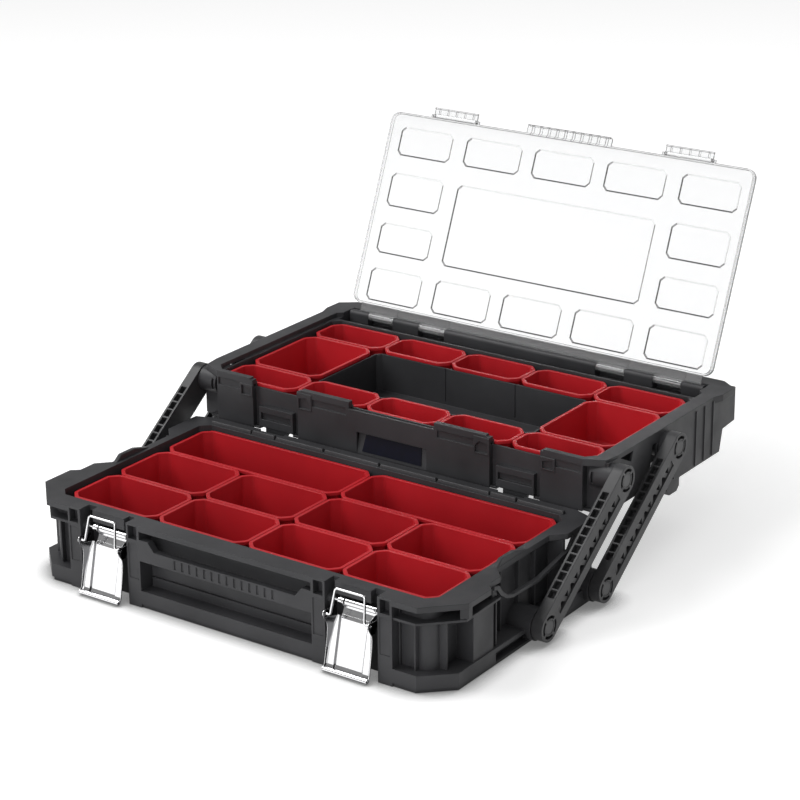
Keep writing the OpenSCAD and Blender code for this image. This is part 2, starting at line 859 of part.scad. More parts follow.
module lid_knuckles() {
    for (span = [[103.5, 139.9], [177.5, 212.5]])
        difference() {
            along_x(span[0], span[1]) {
                translate([hinge_y, hinge_z]) circle(r = knuckle_r);
                polygon([
                    [lid_rear - 4, lid_z + lid_t], [lid_rear - 4, lid_z], [hinge_y - 4.4, hinge_z],
                    [hinge_y, hinge_z + knuckle_r - 0.2], [lid_rear + 4, lid_z + lid_t]
                ]);
            }
            rod_x(span[0] - over, span[1] + over, hinge_y, hinge_z, rod_r + wire_play);
        }
}

// Grip at the front of the lid
module lid_grip() {
    block([-57, 0, lid_z], [57, 13, lid_z + lid_t]);
    block([-55, 0, lid_z - 3], [55, 1.6, lid_z + eps]);
    for (i = [0:9]) block([-51 + i * 11, 0.5, lid_z + lid_t - eps], [-48 + i * 11, 12, lid_z + lid_t + 1.4]);
}

// Lugs with stub pins that carry a lid clip
module clip_lugs() {
    translate([latch_x - 0.7, 0, 0])
        both() {
            along_x(clip_half + 0.5, clip_half + 3.1) {
                translate(clip_axis) circle(r = 2.2);
                translate([clip_axis[0], clip_axis[1] - 1]) square([4, 2]);
            }
            rod_x(clip_half - 2, clip_half + 1, clip_axis[0], clip_axis[1], 1);
        }
}

clip_half = 30.3;

module lid() {
    columns = [[-229, -154], [-135, -57], [-40, 40], [57, 135], [154, 229]];
    rows = [[182, 217], [120, 161], [63, 100], [5, 45]];
    color(clear_tint) place_lid() {
        plan(lid_z, lid_z + lid_t)
            polygon(cut_rect(-lid_half, lid_front, lid_half, lid_rear, lid_corner));
        plan(lid_z - lid_skirt, lid_z + eps)
            difference() {
                polygon(cut_rect(-lid_half, lid_front, lid_half, lid_rear, lid_corner));
                polygon(cut_rect(
                    -lid_half + 1.8, lid_front + 1.8, lid_half - 1.8, lid_rear - 1.8, lid_corner - 0.8
                ));
            }
        for (c = [0:4])
            for (r = [0:3])
                if (r == 0 || r == 3 || c == 0 || c == 4)
                    lid_frame(columns[c][0], lid_rear - rows[r][1], columns[c][1], lid_rear - rows[r][0], 7);
        lid_frame(-134, lid_rear - 160, 134, lid_rear - 62, 7);
        both() {
            lid_knuckles();
            clip_lugs();
        }
        lid_grip();
    }
}

module lid_hinge_rods() {
    color(steel) place_upper()
        both() rod_x(92, 228, hinge_y, hinge_z, rod_r);
}

module lid_clip(side) {
    color(clear_tint) place_lid()
        on_side(side)
            translate([latch_x - 0.7, 0, 0])
                difference() {
                    union() {
                        rod_x(-clip_half, clip_half, clip_axis[0], clip_axis[1], 2.2);
                        block([-clip_half, -2, clip_axis[1] - 1], [clip_half, clip_axis[0], clip_axis[1] + 1]);
                        block([-clip_half, -2.2, clip_axis[1] - 2], [clip_half, -0.6, clip_axis[1] + 1]);
                        for (x = [-24:12:24])
                            block([x - 1, -1, clip_axis[1]], [x + 1, 5, clip_axis[1] + 1.7]);
                    }
                    both() rod_x(clip_half - 2.4, clip_half + 1, clip_axis[0], clip_axis[1], 1.06);
                }
}

// ----------------------------------------------------------------- latches

// Hinge of the lever, and the eye of the bail, in Y and Z of the lower box
lever_axis = [9, 71];
bail_eye = [-6, 60.5];
// Top bar of the bail when the latch is down
bail_top = [-0.5, 87.3];
bail_top_half = 17.5;
bail_leg_half = 20.4;
// A bend in the wire is a little fuller than the wire
bend_swell = 0.08;

// Side view of the lever's sheet, from the barrel to the tip
module lever_sheet() {
    front = [[12.2, 70], [11.6, 63], [4, 54], [-7.5, 3.4], [-13.4, 2]];
    back = [[-13.4, 0.8], [-6.4, 1.6], [5.2, 53.2], [12.8, 62.4], [13.4, 70]];
    polygon(concat(front, back));
}

// Side view of a flange, with the ear that takes the bail
module flange_sheet() {
    polygon([
        [13.4, 66], [12.8, 62.4], [5.2, 53.2], [-6.4, 1.6], [-13.4, 0.8], [-13.4, 6], [-10.4, 54],
        [-9.6, 62], [-6, 64.6], [0, 64.6], [4.4, 71]
    ]);
    translate(lever_axis) circle(r = 4.6);
}

module latch_lever(side) {
    color(steel) place_lower()
        on_side(side)
            translate([latch_x, 0, 0])
                difference() {
                    union() {
                        along_x(-lever_half + eps, lever_half - eps) lever_sheet();
                        both() along_x(lever_half - sheet_t, lever_half) flange_sheet();
                        rod_x(-lever_half + eps, lever_half - eps, lever_axis[0], lever_axis[1], 4.4);
                        // pressed panel
                        along_x(-16.7, 16.7)
                            polygon([[4.2, 50], [3.2, 50], [-7.2, 5], [-6.2, 5]]);
                        // rolled lip along the tip
                        rod_x(-lever_half + eps, lever_half - eps, -13, 2.2, 1.3);
                    }
                    rod_x(-40, 40, lever_axis[0], lever_axis[1], latch_pin_r + wire_play);
                    rod_x(-40, 40, bail_eye[0], bail_eye[1], wire_r + wire_play);
                }
}

// A straight run of wire between two points in the plane X = const, or slanted
module wire(a, b) {
    d = b - a;
    l = norm(d);
    translate(a)
        rotate([0, acos(d[2] / l), atan2(d[1], d[0])])
            cylinder(h = l, r = wire_r);
    translate(b) sphere(r = wire_r + bend_swell);
}

module latch_bail(side) {
    top = [bail_top_half, bail_top[0], bail_top[1]];
    knee = [bail_leg_half, bail_eye[0], bail_eye[1]];
    color(steel) place_lower()
        on_side(side)
            translate([latch_x, 0, 0]) {
                rod_x(-bail_top_half, bail_top_half, bail_top[0], bail_top[1], wire_r);
                both() {
                    wire(top, knee);
                    translate(top) sphere(r = wire_r + bend_swell);
                    rod_x(bail_leg_half, lever_half + 1.6, bail_eye[0], bail_eye[1], wire_r);
                }
            }
}

module latch_pins() {
    color(steel) place_lower()
        both()
            translate([latch_x, 0, 0])
                rod_x(-30.4, 30.4, lever_axis[0], lever_axis[1], latch_pin_r);
}

// ------------------------------------------------------------------- nodes

lower_tub();
upper_tub();
lid();
arm(-1, pivot_y);  // front_arm_left
arm(1, pivot_y);  // front_arm_right
arm(-1, pivot_y + arm_pitch);  // rear_arm_left
arm(1, pivot_y + arm_pitch);  // rear_arm_right
lower_pivot_pins();
upper_pivot_pins();
lid_hinge_rods();
lid_clip(-1);  // lid_clip_left
lid_clip(1);  // lid_clip_right
label_plate();
catch_keeper(-1);  // catch_keeper_left
catch_keeper(1);  // catch_keeper_right
latch_lever(-1);  // latch_lever_left
latch_lever(1);  // latch_lever_right
latch_bail(-1);  // latch_bail_left
latch_bail(1);  // latch_bail_right
latch_pins();
lower_bin_front(1);  // lower_bin_front_1
lower_bin_front(2);  // lower_bin_front_2
lower_bin_front(3);  // lower_bin_front_3
lower_bin_front(4);  // lower_bin_front_4
lower_bin_middle(1);  // lower_bin_middle_1
lower_bin_middle(2);  // lower_bin_middle_2
lower_bin_middle(3);  // lower_bin_middle_3
lower_bin_middle(4);  // lower_bin_middle_4
lower_bin_rear(1);  // lower_bin_rear_1
lower_bin_rear(2);  // lower_bin_rear_2
upper_bin_front(1);  // upper_bin_front_1
upper_bin_front(2);  // upper_bin_front_2
upper_bin_front(3);  // upper_bin_front_3
upper_bin_front(4);  // upper_bin_front_4
upper_bin_front(5);  // upper_bin_front_5
upper_bin_rear(1);  // upper_bin_rear_1
upper_bin_rear(2);  // upper_bin_rear_2
upper_bin_rear(3);  // upper_bin_rear_3
upper_bin_rear(4);  // upper_bin_rear_4
upper_bin_rear(5);  // upper_bin_rear_5
upper_bin_side(1);  // upper_bin_side_1
upper_bin_side(2);  // upper_bin_side_2
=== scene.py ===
"""Cantilever tool box: finishes, moulded detail, studio and camera.

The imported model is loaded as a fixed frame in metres. The classes below model
the pieces that need more detail than the solids have, dress every visible
solid with a finish, and set up the studio. Lengths are metres, but for the
classes that say that theirs are millimetres.
"""

import json
import logging
import math
from collections.abc import Callable, Iterable, Sequence
from dataclasses import dataclass, field
from enum import Enum

import bmesh
import bpy
from mathutils import Matrix, Vector


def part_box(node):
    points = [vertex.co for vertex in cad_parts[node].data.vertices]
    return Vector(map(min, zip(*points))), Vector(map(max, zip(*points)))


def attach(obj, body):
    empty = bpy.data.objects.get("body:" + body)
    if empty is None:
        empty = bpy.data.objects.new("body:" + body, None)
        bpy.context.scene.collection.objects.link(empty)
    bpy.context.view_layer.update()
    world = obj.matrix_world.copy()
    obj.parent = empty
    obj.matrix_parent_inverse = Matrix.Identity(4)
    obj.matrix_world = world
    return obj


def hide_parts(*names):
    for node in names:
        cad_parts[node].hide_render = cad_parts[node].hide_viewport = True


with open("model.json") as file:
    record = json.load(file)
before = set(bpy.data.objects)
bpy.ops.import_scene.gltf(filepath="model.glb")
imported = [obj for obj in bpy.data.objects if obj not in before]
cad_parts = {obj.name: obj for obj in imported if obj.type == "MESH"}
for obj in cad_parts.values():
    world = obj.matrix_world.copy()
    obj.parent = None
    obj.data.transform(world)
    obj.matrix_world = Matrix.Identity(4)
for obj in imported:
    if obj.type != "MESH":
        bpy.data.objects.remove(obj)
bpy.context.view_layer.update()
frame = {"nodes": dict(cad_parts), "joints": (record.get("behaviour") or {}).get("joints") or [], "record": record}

MM = 0.001
# where the front wall of the lower box lies along Y, in millimetres
FRONT_Y = -142.5
PHOTO_SIDE = 800
# cosine past which a face counts as looking a given way
LEVEL = 0.9
# cosine of the turn that a rounded normal has on a plain face
PLAIN_FACE = 0.995
# the range that most of a noise lies in
NOISE_RANGE = (0.3, 0.7)
NORMAL_SAMPLES = 6
LOG = logging.getLogger("tool_box")

Point = Sequence[float]
Pair = tuple[float, float]
Triple = tuple[float, float, float]
Socket = bpy.types.NodeSocket
Source = Socket | float | Sequence[float]


class Side(Enum):
    """The two ends of the box, by the sign of X."""

    LEFT = -1
    RIGHT = 1

    @property
    def word(self) -> str:
        """The side's name as the nodes spell it."""
        return self.name.lower()

    def span(self, ends: Point) -> list[float]:
        """Returns both ends of a stretch along X on this side, in rising order."""
        return sorted(self.value * end for end in ends)


# --------------------------------------------------------------- materials


@dataclass(frozen=True)
class Pattern:
    """A noise: cells per metre, finer layers, and scale along X, Y and Z."""

    cells: float
    layers: float
    stretch: Triple = (1, 1, 1)


class NodeSheet:
    """The node tree of a material or world, with short calls to build it."""

    def __init__(self, owner: bpy.types.Material | bpy.types.World, output: str) -> None:
        """Empties the tree but for its output.

        Args:
            owner: The material or world that the tree belongs to.
            output: Blender's name of the output node's type.
        """
        self.owner = owner
        owner.use_nodes = True
        self.tree = owner.node_tree
        self.tree.nodes.clear()
        self.output = self.add(output)

    @classmethod
    def of_material(cls, name: str) -> "NodeSheet":
        """Makes a new material and returns its sheet."""
        return cls(bpy.data.materials.new(name), "ShaderNodeOutputMaterial")

    def add(
        self, kind: str, inputs: dict[str | int, Source] | None = None, **settings: object,
    ) -> bpy.types.Node:
        """Adds a node.

        Args:
            kind: Blender's name of the node type.
            inputs: What feeds its sockets, by their name or number.
            settings: Values of the node's own properties.

        Returns:
            The new node.
        """
        node = self.tree.nodes.new(kind)
        for key, value in settings.items():
            setattr(node, key, value)
        for key, source in (inputs or {}).items():
            self.join(source, node.inputs[key])
        return node

    def join(self, source: Source, target: Socket) -> None:
        """Links a socket to a target, or sets a plain value there.

        Args:
            source: The socket or value.
            target: The input that it feeds.
        """
        if isinstance(source, bpy.types.NodeSocket):
            self.tree.links.new(source, target)
        else:
            target.default_value = source

    def noise(self, pattern: Pattern) -> Socket:
        """Adds a noise that reads object coordinates.

        Args:
            pattern: Its cells, layers and stretch.

        Returns:
            The socket of the noise's value.
        """
        place = self.add("ShaderNodeTexCoord")
        mapping = self.add(
            "ShaderNodeMapping", {"Vector": place.outputs["Object"], "Scale": pattern.stretch},
        )
        noise = self.add("ShaderNodeTexNoise", {
            "Vector": mapping.outputs["Vector"], "Scale": pattern.cells, "Detail": pattern.layers,
        })
        return noise.outputs["Fac"]

    def ramp(self, source: Socket, ends: Point, low: Source, high: Source) -> Socket:
        """Maps a range of a value to another range, and holds both ends.

        Args:
            source: The value to map.
            ends: The values that give low and high.
            low: Result at the first end.
            high: Result at the second end.

        Returns:
            The socket that carries the result.
        """
        node = self.add("ShaderNodeMapRange", {
            "Value": source, "From Min": ends[0], "From Max": ends[1],
            "To Min": low, "To Max": high,
        })
        return node.outputs["Result"]

    def blend(self, factor: Socket, first: Socket | Triple, second: Socket | Triple) -> Socket:
        """Mixes two colours by a factor.

        Args:
            factor: Socket of the factor, 0 to 1.
            first: Colour at 0.
            second: Colour at 1.

        Returns:
            The socket of the mixed colour.
        """
        node = self.add("ShaderNodeMix", {0: factor}, data_type="RGBA")
        for target, colour in zip(node.inputs[6:8], (first, second)):
            self.join((*colour, 1) if isinstance(colour, tuple) else colour, target)
        return node.outputs[2]

    def bump(
        self, height: Socket, strength: float, depth: float, under: Socket | None = None,
    ) -> Socket:
        """Adds a bump.

        Args:
            height: Socket of the height.
            strength: Strength of the bump, 0 to 1.
            depth: Height in metres of a value of 1.
            under: Normal that the bump lies on.

        Returns:
            The socket of the bumped normal.
        """
        node = self.add(
            "ShaderNodeBump", {"Height": height, "Strength": strength, "Distance": depth},
        )
        if under is not None:
            self.join(under, node.inputs["Normal"])
        return node.outputs["Normal"]

    def soft_edges(self, radius: float) -> Socket:
        """Returns a normal that rounds every edge by a radius in metres."""
        node = self.add("ShaderNodeBevel", {"Radius": radius}, samples=NORMAL_SAMPLES)
        return node.outputs["Normal"]

    def dot(self, first: Socket, second: Source) -> Socket:
        """Returns the cosine between two directions."""
        node = self.add("ShaderNodeVectorMath", {0: first, 1: second}, operation="DOT_PRODUCT")
        return node.outputs["Value"]

    def edge_lines(self, radius: float, full_at: float) -> Socket:
        """Finds edges and creases, where shade is painted as a dark line.

        Args:
            radius: How far from an edge the line reaches, in metres.
            full_at: Cosine of the rounded normal's turn at which it is full.

        Returns:
            The socket of a value of 0 on open faces and 1 on edges.
        """
        here = self.add("ShaderNodeNewGeometry")
        turn = self.dot(self.soft_edges(radius), here.outputs["Normal"])
        return self.ramp(turn, (PLAIN_FACE, full_at), 0, 1)

    def crevices(self, reach: float, ends: Pair) -> Socket:
        """Finds narrow places of the piece itself, where shade is painted.

        Args:
            reach: How far off a wall still shades, in metres.
            ends: Shares of free sky at which the shade starts and is full.

        Returns:
            The socket of a value of 0 in the open and 1 in a crevice.
        """
        sky = self.add(
            "ShaderNodeAmbientOcclusion", {"Distance": reach},
            samples=NORMAL_SAMPLES, only_local=True,
        )
        return self.ramp(sky.outputs["AO"], ends, 0, 1)

    def facing(self, towards: Triple, ends: Pair, strength: float) -> Socket:
        """Finds faces whose outer side looks a given way in object coordinates.

        Args:
            towards: Unit vector of the way.
            ends: Cosines at which the value leaves 0 and is full.
            strength: The full value.

        Returns:
            The socket of the value.
        """
        place = self.add("ShaderNodeTexCoord")
        here = self.add("ShaderNodeNewGeometry")
        sign = self.ramp(here.outputs["Backfacing"], (0, 1), 1, -1)
        outer = self.combine("MULTIPLY", self.dot(place.outputs["Normal"], towards), sign)
        return self.ramp(outer, ends, 0, strength)

    def combine(self, operation: str, *sources: Source) -> Socket:
        """Chains values by a math operation.

        Args:
            operation: Blender's name of it, such as MAXIMUM or MULTIPLY.
            sources: Sockets and plain numbers, of which the first is a socket.

        Returns:
            The socket of the result.
        """
        result = sources[0]
        for source in sources[1:]:
            node = self.add("ShaderNodeMath", {0: result, 1: source}, operation=operation)
            result = node.outputs[0]
        return result

    def seen_directly(self) -> Socket:
        """Tells what is looked at from what only gives light.

        Returns:
            The socket of 1 for rays from the camera, mirrors and clear plastic.
        """
        rays = self.add("ShaderNodeLightPath").outputs
        return self.combine(
            "MAXIMUM", rays["Is Camera Ray"], rays["Is Glossy Ray"], rays["Is Transmission Ray"],
        )

    def finish(self, shader: bpy.types.Node) -> bpy.types.Material | bpy.types.World:
        """Joins the shader to the output and returns the material or world."""
        self.join(shader.outputs[0], self.output.inputs["Surface"])
        return self.owner


@dataclass(frozen=True)
class Finish:
    """What the finishes share: a colour and a roughness that vary a little."""

    name: str
    colour: Triple
    # shares of the colour at its darkest and palest, and what the palest gains
    shades: Pair = (0.84, 1.22)
    gain: float = 0.0
    clouds: Pattern = Pattern(14, 4)
    roughness: Pair = (0.41, 0.53)
    rubbing: Pattern = Pattern(45, 5)

    def shaded(self, sheet: NodeSheet) -> Socket:
        """Returns a colour that drifts between the two shades.

        Args:
            sheet: The sheet that the nodes go into.

        Returns:
            The socket of the colour.
        """
        deep, pale = (
            tuple(min(1.0, part * share + gain) for part in self.colour)
            for share, gain in zip(self.shades, (0.0, self.gain))
        )
        return sheet.blend(sheet.ramp(sheet.noise(self.clouds), NOISE_RANGE, 0, 1), deep, pale)

    def rubbed(self, sheet: NodeSheet) -> Socket:
        """Returns the roughness, smoother and rougher by its noise."""
        return sheet.ramp(sheet.noise(self.rubbing), NOISE_RANGE, *self.roughness)

    def traits(self, sheet: NodeSheet) -> dict[str, Source]:
        """Returns what this finish gives the shader, by the names of its inputs."""
        return {"Base Color": self.shaded(sheet), "Roughness": self.rubbed(sheet)}

    def make(self) -> bpy.types.Material:
        """Builds the material and returns it."""
        sheet = NodeSheet.of_material(self.name)
        return sheet.finish(sheet.add("ShaderNodeBsdfPrincipled", self.traits(sheet)))


@dataclass(frozen=True)
class MouldedPlastic(Finish):
    """Injection-moulded plastic with a spark-eroded grain."""

    gain: float = 0.003
    specular: float = 0.5
    pits: Pattern = Pattern(1500, 2)
    pit_strength: float = 0.25
    pit_depth: float = 0.12 * MM
    edge: float = 0.9 * MM

    def traits(self, sheet: NodeSheet) -> dict[str, Source]:
        """Adds the grain and the rounded edges.

        Args:
            sheet: The sheet that the nodes go into.

        Returns:
            What feeds the shader, by the names of its inputs.
        """
        return super().traits(sheet) | {
            "Specular IOR Level": self.specular,
            "Normal": sheet.bump(
                sheet.noise(self.pits), self.pit_strength, self.pit_depth,
                sheet.soft_edges(self.edge),
            ),
        }


@dataclass(frozen=True)
class BinPlastic(Finish):
    """Dark red plastic of the bins: smooth, a little see-through at the rims."""

    shades: Pair = (0.86, 1.12)
    clouds: Pattern = Pattern(9, 5, (1, 1, 0.4))
    roughness: Pair = (0.29, 0.41)
    rubbing: Pattern = Pattern(60, 4)
    specular: float = 0.22
    depth: float = 0.12
    depth_radius: Triple = (0.004, 0.0006, 0.0006)
    pits: Pattern = Pattern(900, 2)
    pit_strength: float = 0.08
    pit_depth: float = 0.1 * MM

    def traits(self, sheet: NodeSheet) -> dict[str, Source]:
        """Adds the light that spreads under the surface, and a fine grain.

        Args:
            sheet: The sheet that the nodes go into.

        Returns:
            What feeds the shader, by the names of its inputs.
        """
        return super().traits(sheet) | {
            "Specular IOR Level": self.specular,
            "Subsurface Weight": self.depth,
            "Subsurface Radius": self.depth_radius,
            "Subsurface Scale": 1.0,
            "Normal": sheet.bump(sheet.noise(self.pits), self.pit_strength, self.pit_depth),
        }


@dataclass(frozen=True)
class ClearPlastic(Finish):
    """Clear moulded sheet with painted shade lines at its edges, and faint flow waves."""

    colour: Triple = (0.985, 0.99, 0.995)
    roughness: Pair = (0.018, 0.048)
    rubbing: Pattern = Pattern(30, 5)
    index: float = 1.49
    clear: float = 0.89
    shine: float = 0.5
    flow: Pattern = Pattern(18, 3)
    flow_strength: float = 0.12
    flow_depth: float = 0.6 * MM
    # painted shade lines at bends: their colour, reach, full turn and strength
    line: Triple = (0.008, 0.008, 0.009)
    bend: float = 0.9 * MM
    bend_full: float = 0.9
    bend_dark: float = 0.9
    # the ways that the slopes of raised edges face, and how dark the shade painted on each is
    outer: Triple = (0.0, 0.9225, -0.3859)
    outer_ends: Pair = (0.3, 0.5)
    # the ways that the slopes of raised edges face, and how dark each looks
    edges: tuple[tuple[Triple, float], ...] = (
        ((-1.0, 0.0, 0.0), 1.0), ((0.0, -0.3859, -0.9225), 1.0), ((0.0, 0.3859, 0.9225), 0.15),
    )
    edge_ends: Pair = (0.1, 0.28)

    def traits(self, sheet: NodeSheet) -> dict[str, Source]:
        """Makes the sheet clear but for the shade painted on its bends and slopes.

        Args:
            sheet: The sheet that the nodes go into.

        Returns:
            What feeds the shader, by the names of its inputs.
        """
        # painted shade: dark lines at bends, and dark slopes by the way they face, make the sheet opaque there
        sloped = sheet.facing(self.outer, self.outer_ends, 1)
        painted_slope_shade = sheet.combine(
            "MAXIMUM", *(sheet.facing(way, self.edge_ends, painted_dark) for way, painted_dark in self.edges)
        )
        painted_bend_shade = sheet.combine(
            "MULTIPLY", sheet.edge_lines(self.bend, self.bend_full), self.bend_dark,
        )
        painted_dark = sheet.combine("MAXIMUM", painted_bend_shade, sheet.combine("MULTIPLY", painted_slope_shade, sloped))
        return {
            "IOR": self.index,
            "Base Color": sheet.blend(painted_dark, self.colour, self.line),
            "Transmission Weight": sheet.ramp(painted_dark, (0, 1), self.clear, 0),
            "Specular IOR Level": sheet.ramp(painted_dark, (0, 1), self.shine, 0),
            "Roughness": self.rubbed(sheet),
            "Normal": sheet.bump(sheet.noise(self.flow), self.flow_strength, self.flow_depth),
        }


@dataclass(frozen=True)
class BrightSteel(Finish):
    """Polished plated steel with fine rolling lines, painted shade in its creases and painted dark reflections on
    its sides.
    """

    colour: Triple = (0.93, 0.93, 0.94)
    shades: Pair = (0.94, 1.0)
    clouds: Pattern = Pattern(70, 5)
    roughness: Pair = (0.084, 0.18)
    rubbing: Pattern = Pattern(60, 4, (1, 30, 1))
    line_strength: float = 0.05
    line_depth: float = 0.15 * MM
    edge: float = 0.4 * MM
    # painted shade in creases: its colour, the reach of edges, and that of crevices
    crease: Triple = (0.06, 0.06, 0.065)
    bend: float = 0.8 * MM
    bend_full: float = 0.88
    crevice: float = 3.5 * MM
    crevice_ends: Pair = (0.9, 0.45)
    # narrow faces that look these ways get a painted dark reflection, each with its strength
    dark_sides: tuple[tuple[Triple, float], ...] = (
        ((1.0, 0.0, 0.0), 0.9), ((-1.0, 0.0, 0.0), 0.8), ((0.0, -0.34, -0.94), 0.85),
    )
    side_ends: Pair = (0.42, 0.72)

    def traits(self, sheet: NodeSheet) -> dict[str, Source]:
        """Plates the steel, and paints shade into its creases and dark reflections on its sides.

        Args:
            sheet: The sheet that the nodes go into.

        Returns:
            What feeds the shader, by the names of its inputs.
        """
        # painted shade at edges and crevices, and painted dark reflections on faces by the way they look
        painted_shade_and_reflection = sheet.combine(
            "MAXIMUM", sheet.edge_lines(self.bend, self.bend_full),
            sheet.crevices(self.crevice, self.crevice_ends),
            *(sheet.facing(way, self.side_ends, painted_dark) for way, painted_dark in self.dark_sides),
        )
        return {
            "Metallic": 1.0,
            "Base Color": sheet.blend(painted_shade_and_reflection, self.shaded(sheet), self.crease),
            "Roughness": self.rubbed(sheet),
            "Normal": sheet.bump(
                sheet.noise(self.rubbing), self.line_strength, self.line_depth,
                sheet.soft_edges(self.edge),
            ),
        }


@dataclass(frozen=True)
class BareLabel(Finish):
    """Glossy dark sheet of the bare label."""

    shades: Pair = (0.8, 1.25)
    clouds: Pattern = Pattern(120, 4)
    roughness: Pair = (0.34, 0.46)
    rubbing: Pattern = Pattern(120, 4)
    specular: float = 0.16

    def traits(self, sheet: NodeSheet) -> dict[str, Source]:
        """Adds a low shine to the shared traits."""
        return super().traits(sheet) | {"Specular IOR Level": self.specular}


@dataclass
class Finishes:
    """All finishes of the box, made once and kept by material slot."""

    by_slot: dict[str, bpy.types.Material] = field(init=False)

    def __post_init__(self) -> None:
        """Makes the materials."""
        finishes = (
            MouldedPlastic("tub_plastic", (0.038, 0.038, 0.041), specular=0.34),
            MouldedPlastic(
                "arm_plastic", (0.042, 0.042, 0.044), roughness=(0.37, 0.49),
                specular=0.38, pit_strength=0.2,
            ),
            MouldedPlastic(
                "pin_plastic", (0.024, 0.024, 0.026), roughness=(0.31, 0.43), pit_strength=0.12,
            ),
            BinPlastic("bin_plastic", (0.47, 0.017, 0.024)),
            ClearPlastic("clear_plastic"),
            BrightSteel("latch_steel"),
            BareLabel("bare_label", (0.003, 0.0034, 0.011)),
        )
        self.by_slot = {finish.name: finish.make() for finish in finishes}

    def dress(self, piece: bpy.types.Object, slot: str) -> None:
        """Gives a piece the finish of a material slot alone."""
        piece.data.materials.clear()
        piece.data.materials.append(self.by_slot[slot])

    def place(
        self, piece: bpy.types.Object, body: str, slot: str, replaced: Iterable[str] = (),
    ) -> None:
        """Dresses a finished piece and hands it to the frame.

        Args:
            piece: The piece, at the origin.
            body: Body that it rides on.
            slot: Material slot that its finish comes from.
            replaced: CAD nodes that it stands for.
        """
        self.dress(piece, slot)
        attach(piece, body)
        names = list(replaced)
        if names:
            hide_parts(*names)
        LOG.info("%s rides on %s", piece.name, body)


# ---------------------------------------------------------------- modelling


def select_only(*pieces: bpy.types.Object) -> None:
    """Selects the given pieces and nothing else.

    Args:
        pieces: The pieces, of which the first becomes the active one.
    """
    bpy.ops.object.select_all(action="DESELECT")
    for piece in pieces:
        piece.select_set(True)
    if pieces:
        bpy.context.view_layer.objects.active = pieces[0]


def looks_up(_centre: Vector, normal: Vector) -> bool:
    """True for a face that looks up."""
    return normal.z > LEVEL


def looks_down(_centre: Vector, normal: Vector) -> bool:
    """True for a face that looks down."""
    return normal.z < -LEVEL


class Workpiece:
    """A mesh object that is modelled with edit-mode operators."""

    def __init__(self, name: str) -> None:
        """Starts from a unit cube.

        Args:
            name: Name of the finished piece.
        """
        select_only()
        bpy.ops.mesh.primitive_cube_add(size=1)
        self.take(name)

    def take(self, name: str) -> None:
        """Takes up the active object and names it.

        Args:
            name: Name of the object and its mesh.
        """
        self.object = bpy.context.object
        self.object.name = name
        self.object.data.name = name

    def edit(self) -> "Workpiece":
        """Enters edit mode with nothing selected.

        Returns:
            This workpiece.
        """
        bpy.ops.object.mode_set(mode="EDIT")
        bpy.ops.mesh.select_all(action="DESELECT")
        return self

    def leave(self) -> "Workpiece":
        """Leaves edit mode."""
        bpy.ops.object.mode_set(mode="OBJECT")
        return self

    def _pick(self, mode: str, parts: str, test: Callable[..., bool]) -> "Workpiece":
        """Selects the parts of the mesh that pass a test.

        Args:
            mode: Blender's name of the selection mode.
            parts: The mesh's own list of such parts.
            test: Says whether one part is selected.

        Returns:
            This workpiece.
        """
        bpy.ops.mesh.select_mode(type=mode)
        bpy.ops.mesh.select_all(action="DESELECT")
        mesh = bmesh.from_edit_mesh(self.object.data)
        for part in getattr(mesh, parts):
            part.select = test(part)
        mesh.select_flush_mode()
        bmesh.update_edit_mesh(self.object.data)
        return self

    def pick_faces(self, test: Callable[[Vector, Vector], bool]) -> "Workpiece":
        """Selects the faces whose centre and normal pass the test."""
        return self._pick("FACE", "faces", lambda f: test(f.calc_center_median(), f.normal))

    def pick_edges(self, test: Callable[[Vector, Vector], bool]) -> "Workpiece":
        """Selects the edges whose two ends pass the test."""
        return self._pick("EDGE", "edges", lambda e: test(e.verts[0].co, e.verts[1].co))

    def everything(self) -> "Workpiece":
        """Selects the whole mesh."""
        bpy.ops.mesh.select_all(action="SELECT")
        return self

    def resize(self, x: float = 1, y: float = 1, z: float = 1) -> "Workpiece":
        """Scales the selection about its middle."""
        bpy.ops.transform.resize(value=(x, y, z))
        return self

    def move(self, x: float = 0, y: float = 0, z: float = 0) -> "Workpiece":
        """Moves the selection."""
        bpy.ops.transform.translate(value=(x, y, z))
        return self

    def extrude(self) -> "Workpiece":
        """Extrudes the selection in place, so that the next step moves it."""
        bpy.ops.mesh.extrude_region_move()
        return self

    def bevel(self, offset: float, segments: int = 1) -> "Workpiece":
        """Bevels the selected edges."""
        bpy.ops.mesh.bevel(offset=offset, segments=segments, profile=0.5, affect="EDGES")
        return self

    def modify(self, kind: str, **settings: object) -> "Workpiece":
        """Adds a modifier and applies it at once.

        Args:
            kind: Blender's name of the modifier type.
            settings: Values of the modifier's properties.

        Returns:
            This workpiece.
        """
        select_only(self.object)
        modifier = self.object.modifiers.new(kind.lower(), kind)
        for key, value in settings.items():
            setattr(modifier, key, value)
        bpy.ops.object.modifier_apply(modifier=modifier.name)
        return self

    def round_edges(self, width: float, degrees: float, segments: int = 3) -> "Workpiece":
        """Rounds every edge that turns by more than an angle.

        Args:
            width: Width of the rounding, in metres.
            degrees: The angle.
            segments: Faces across the rounding.

        Returns:
            This workpiece.
        """
        return self.modify(
            "BEVEL", width=width, segments=segments, limit_method="ANGLE",
            angle_limit=math.radians(degrees),
        )

    def smooth(self, degrees: float = 35) -> "Workpiece":
        """Shades smooth below an angle.

        Args:
            degrees: The angle past which an edge stays sharp.

        Returns:
            This workpiece.
        """
        select_only(self.object)
        bpy.ops.object.shade_smooth_by_angle(angle=math.radians(degrees))
        return self.modify("WEIGHTED_NORMAL", keep_sharp=True, weight=90)

    def flat(self) -> "Workpiece":
        """Shades every face flat."""
        self.object.data.shade_flat()
        return self

    def settle(self) -> bpy.types.Object:
        """Applies the object's place, so that it sits at the origin, unscaled.

        Returns:
            The object.
        """
        select_only(self.object)
        bpy.ops.object.transform_apply(location=True, rotation=True, scale=True)
        return self.object


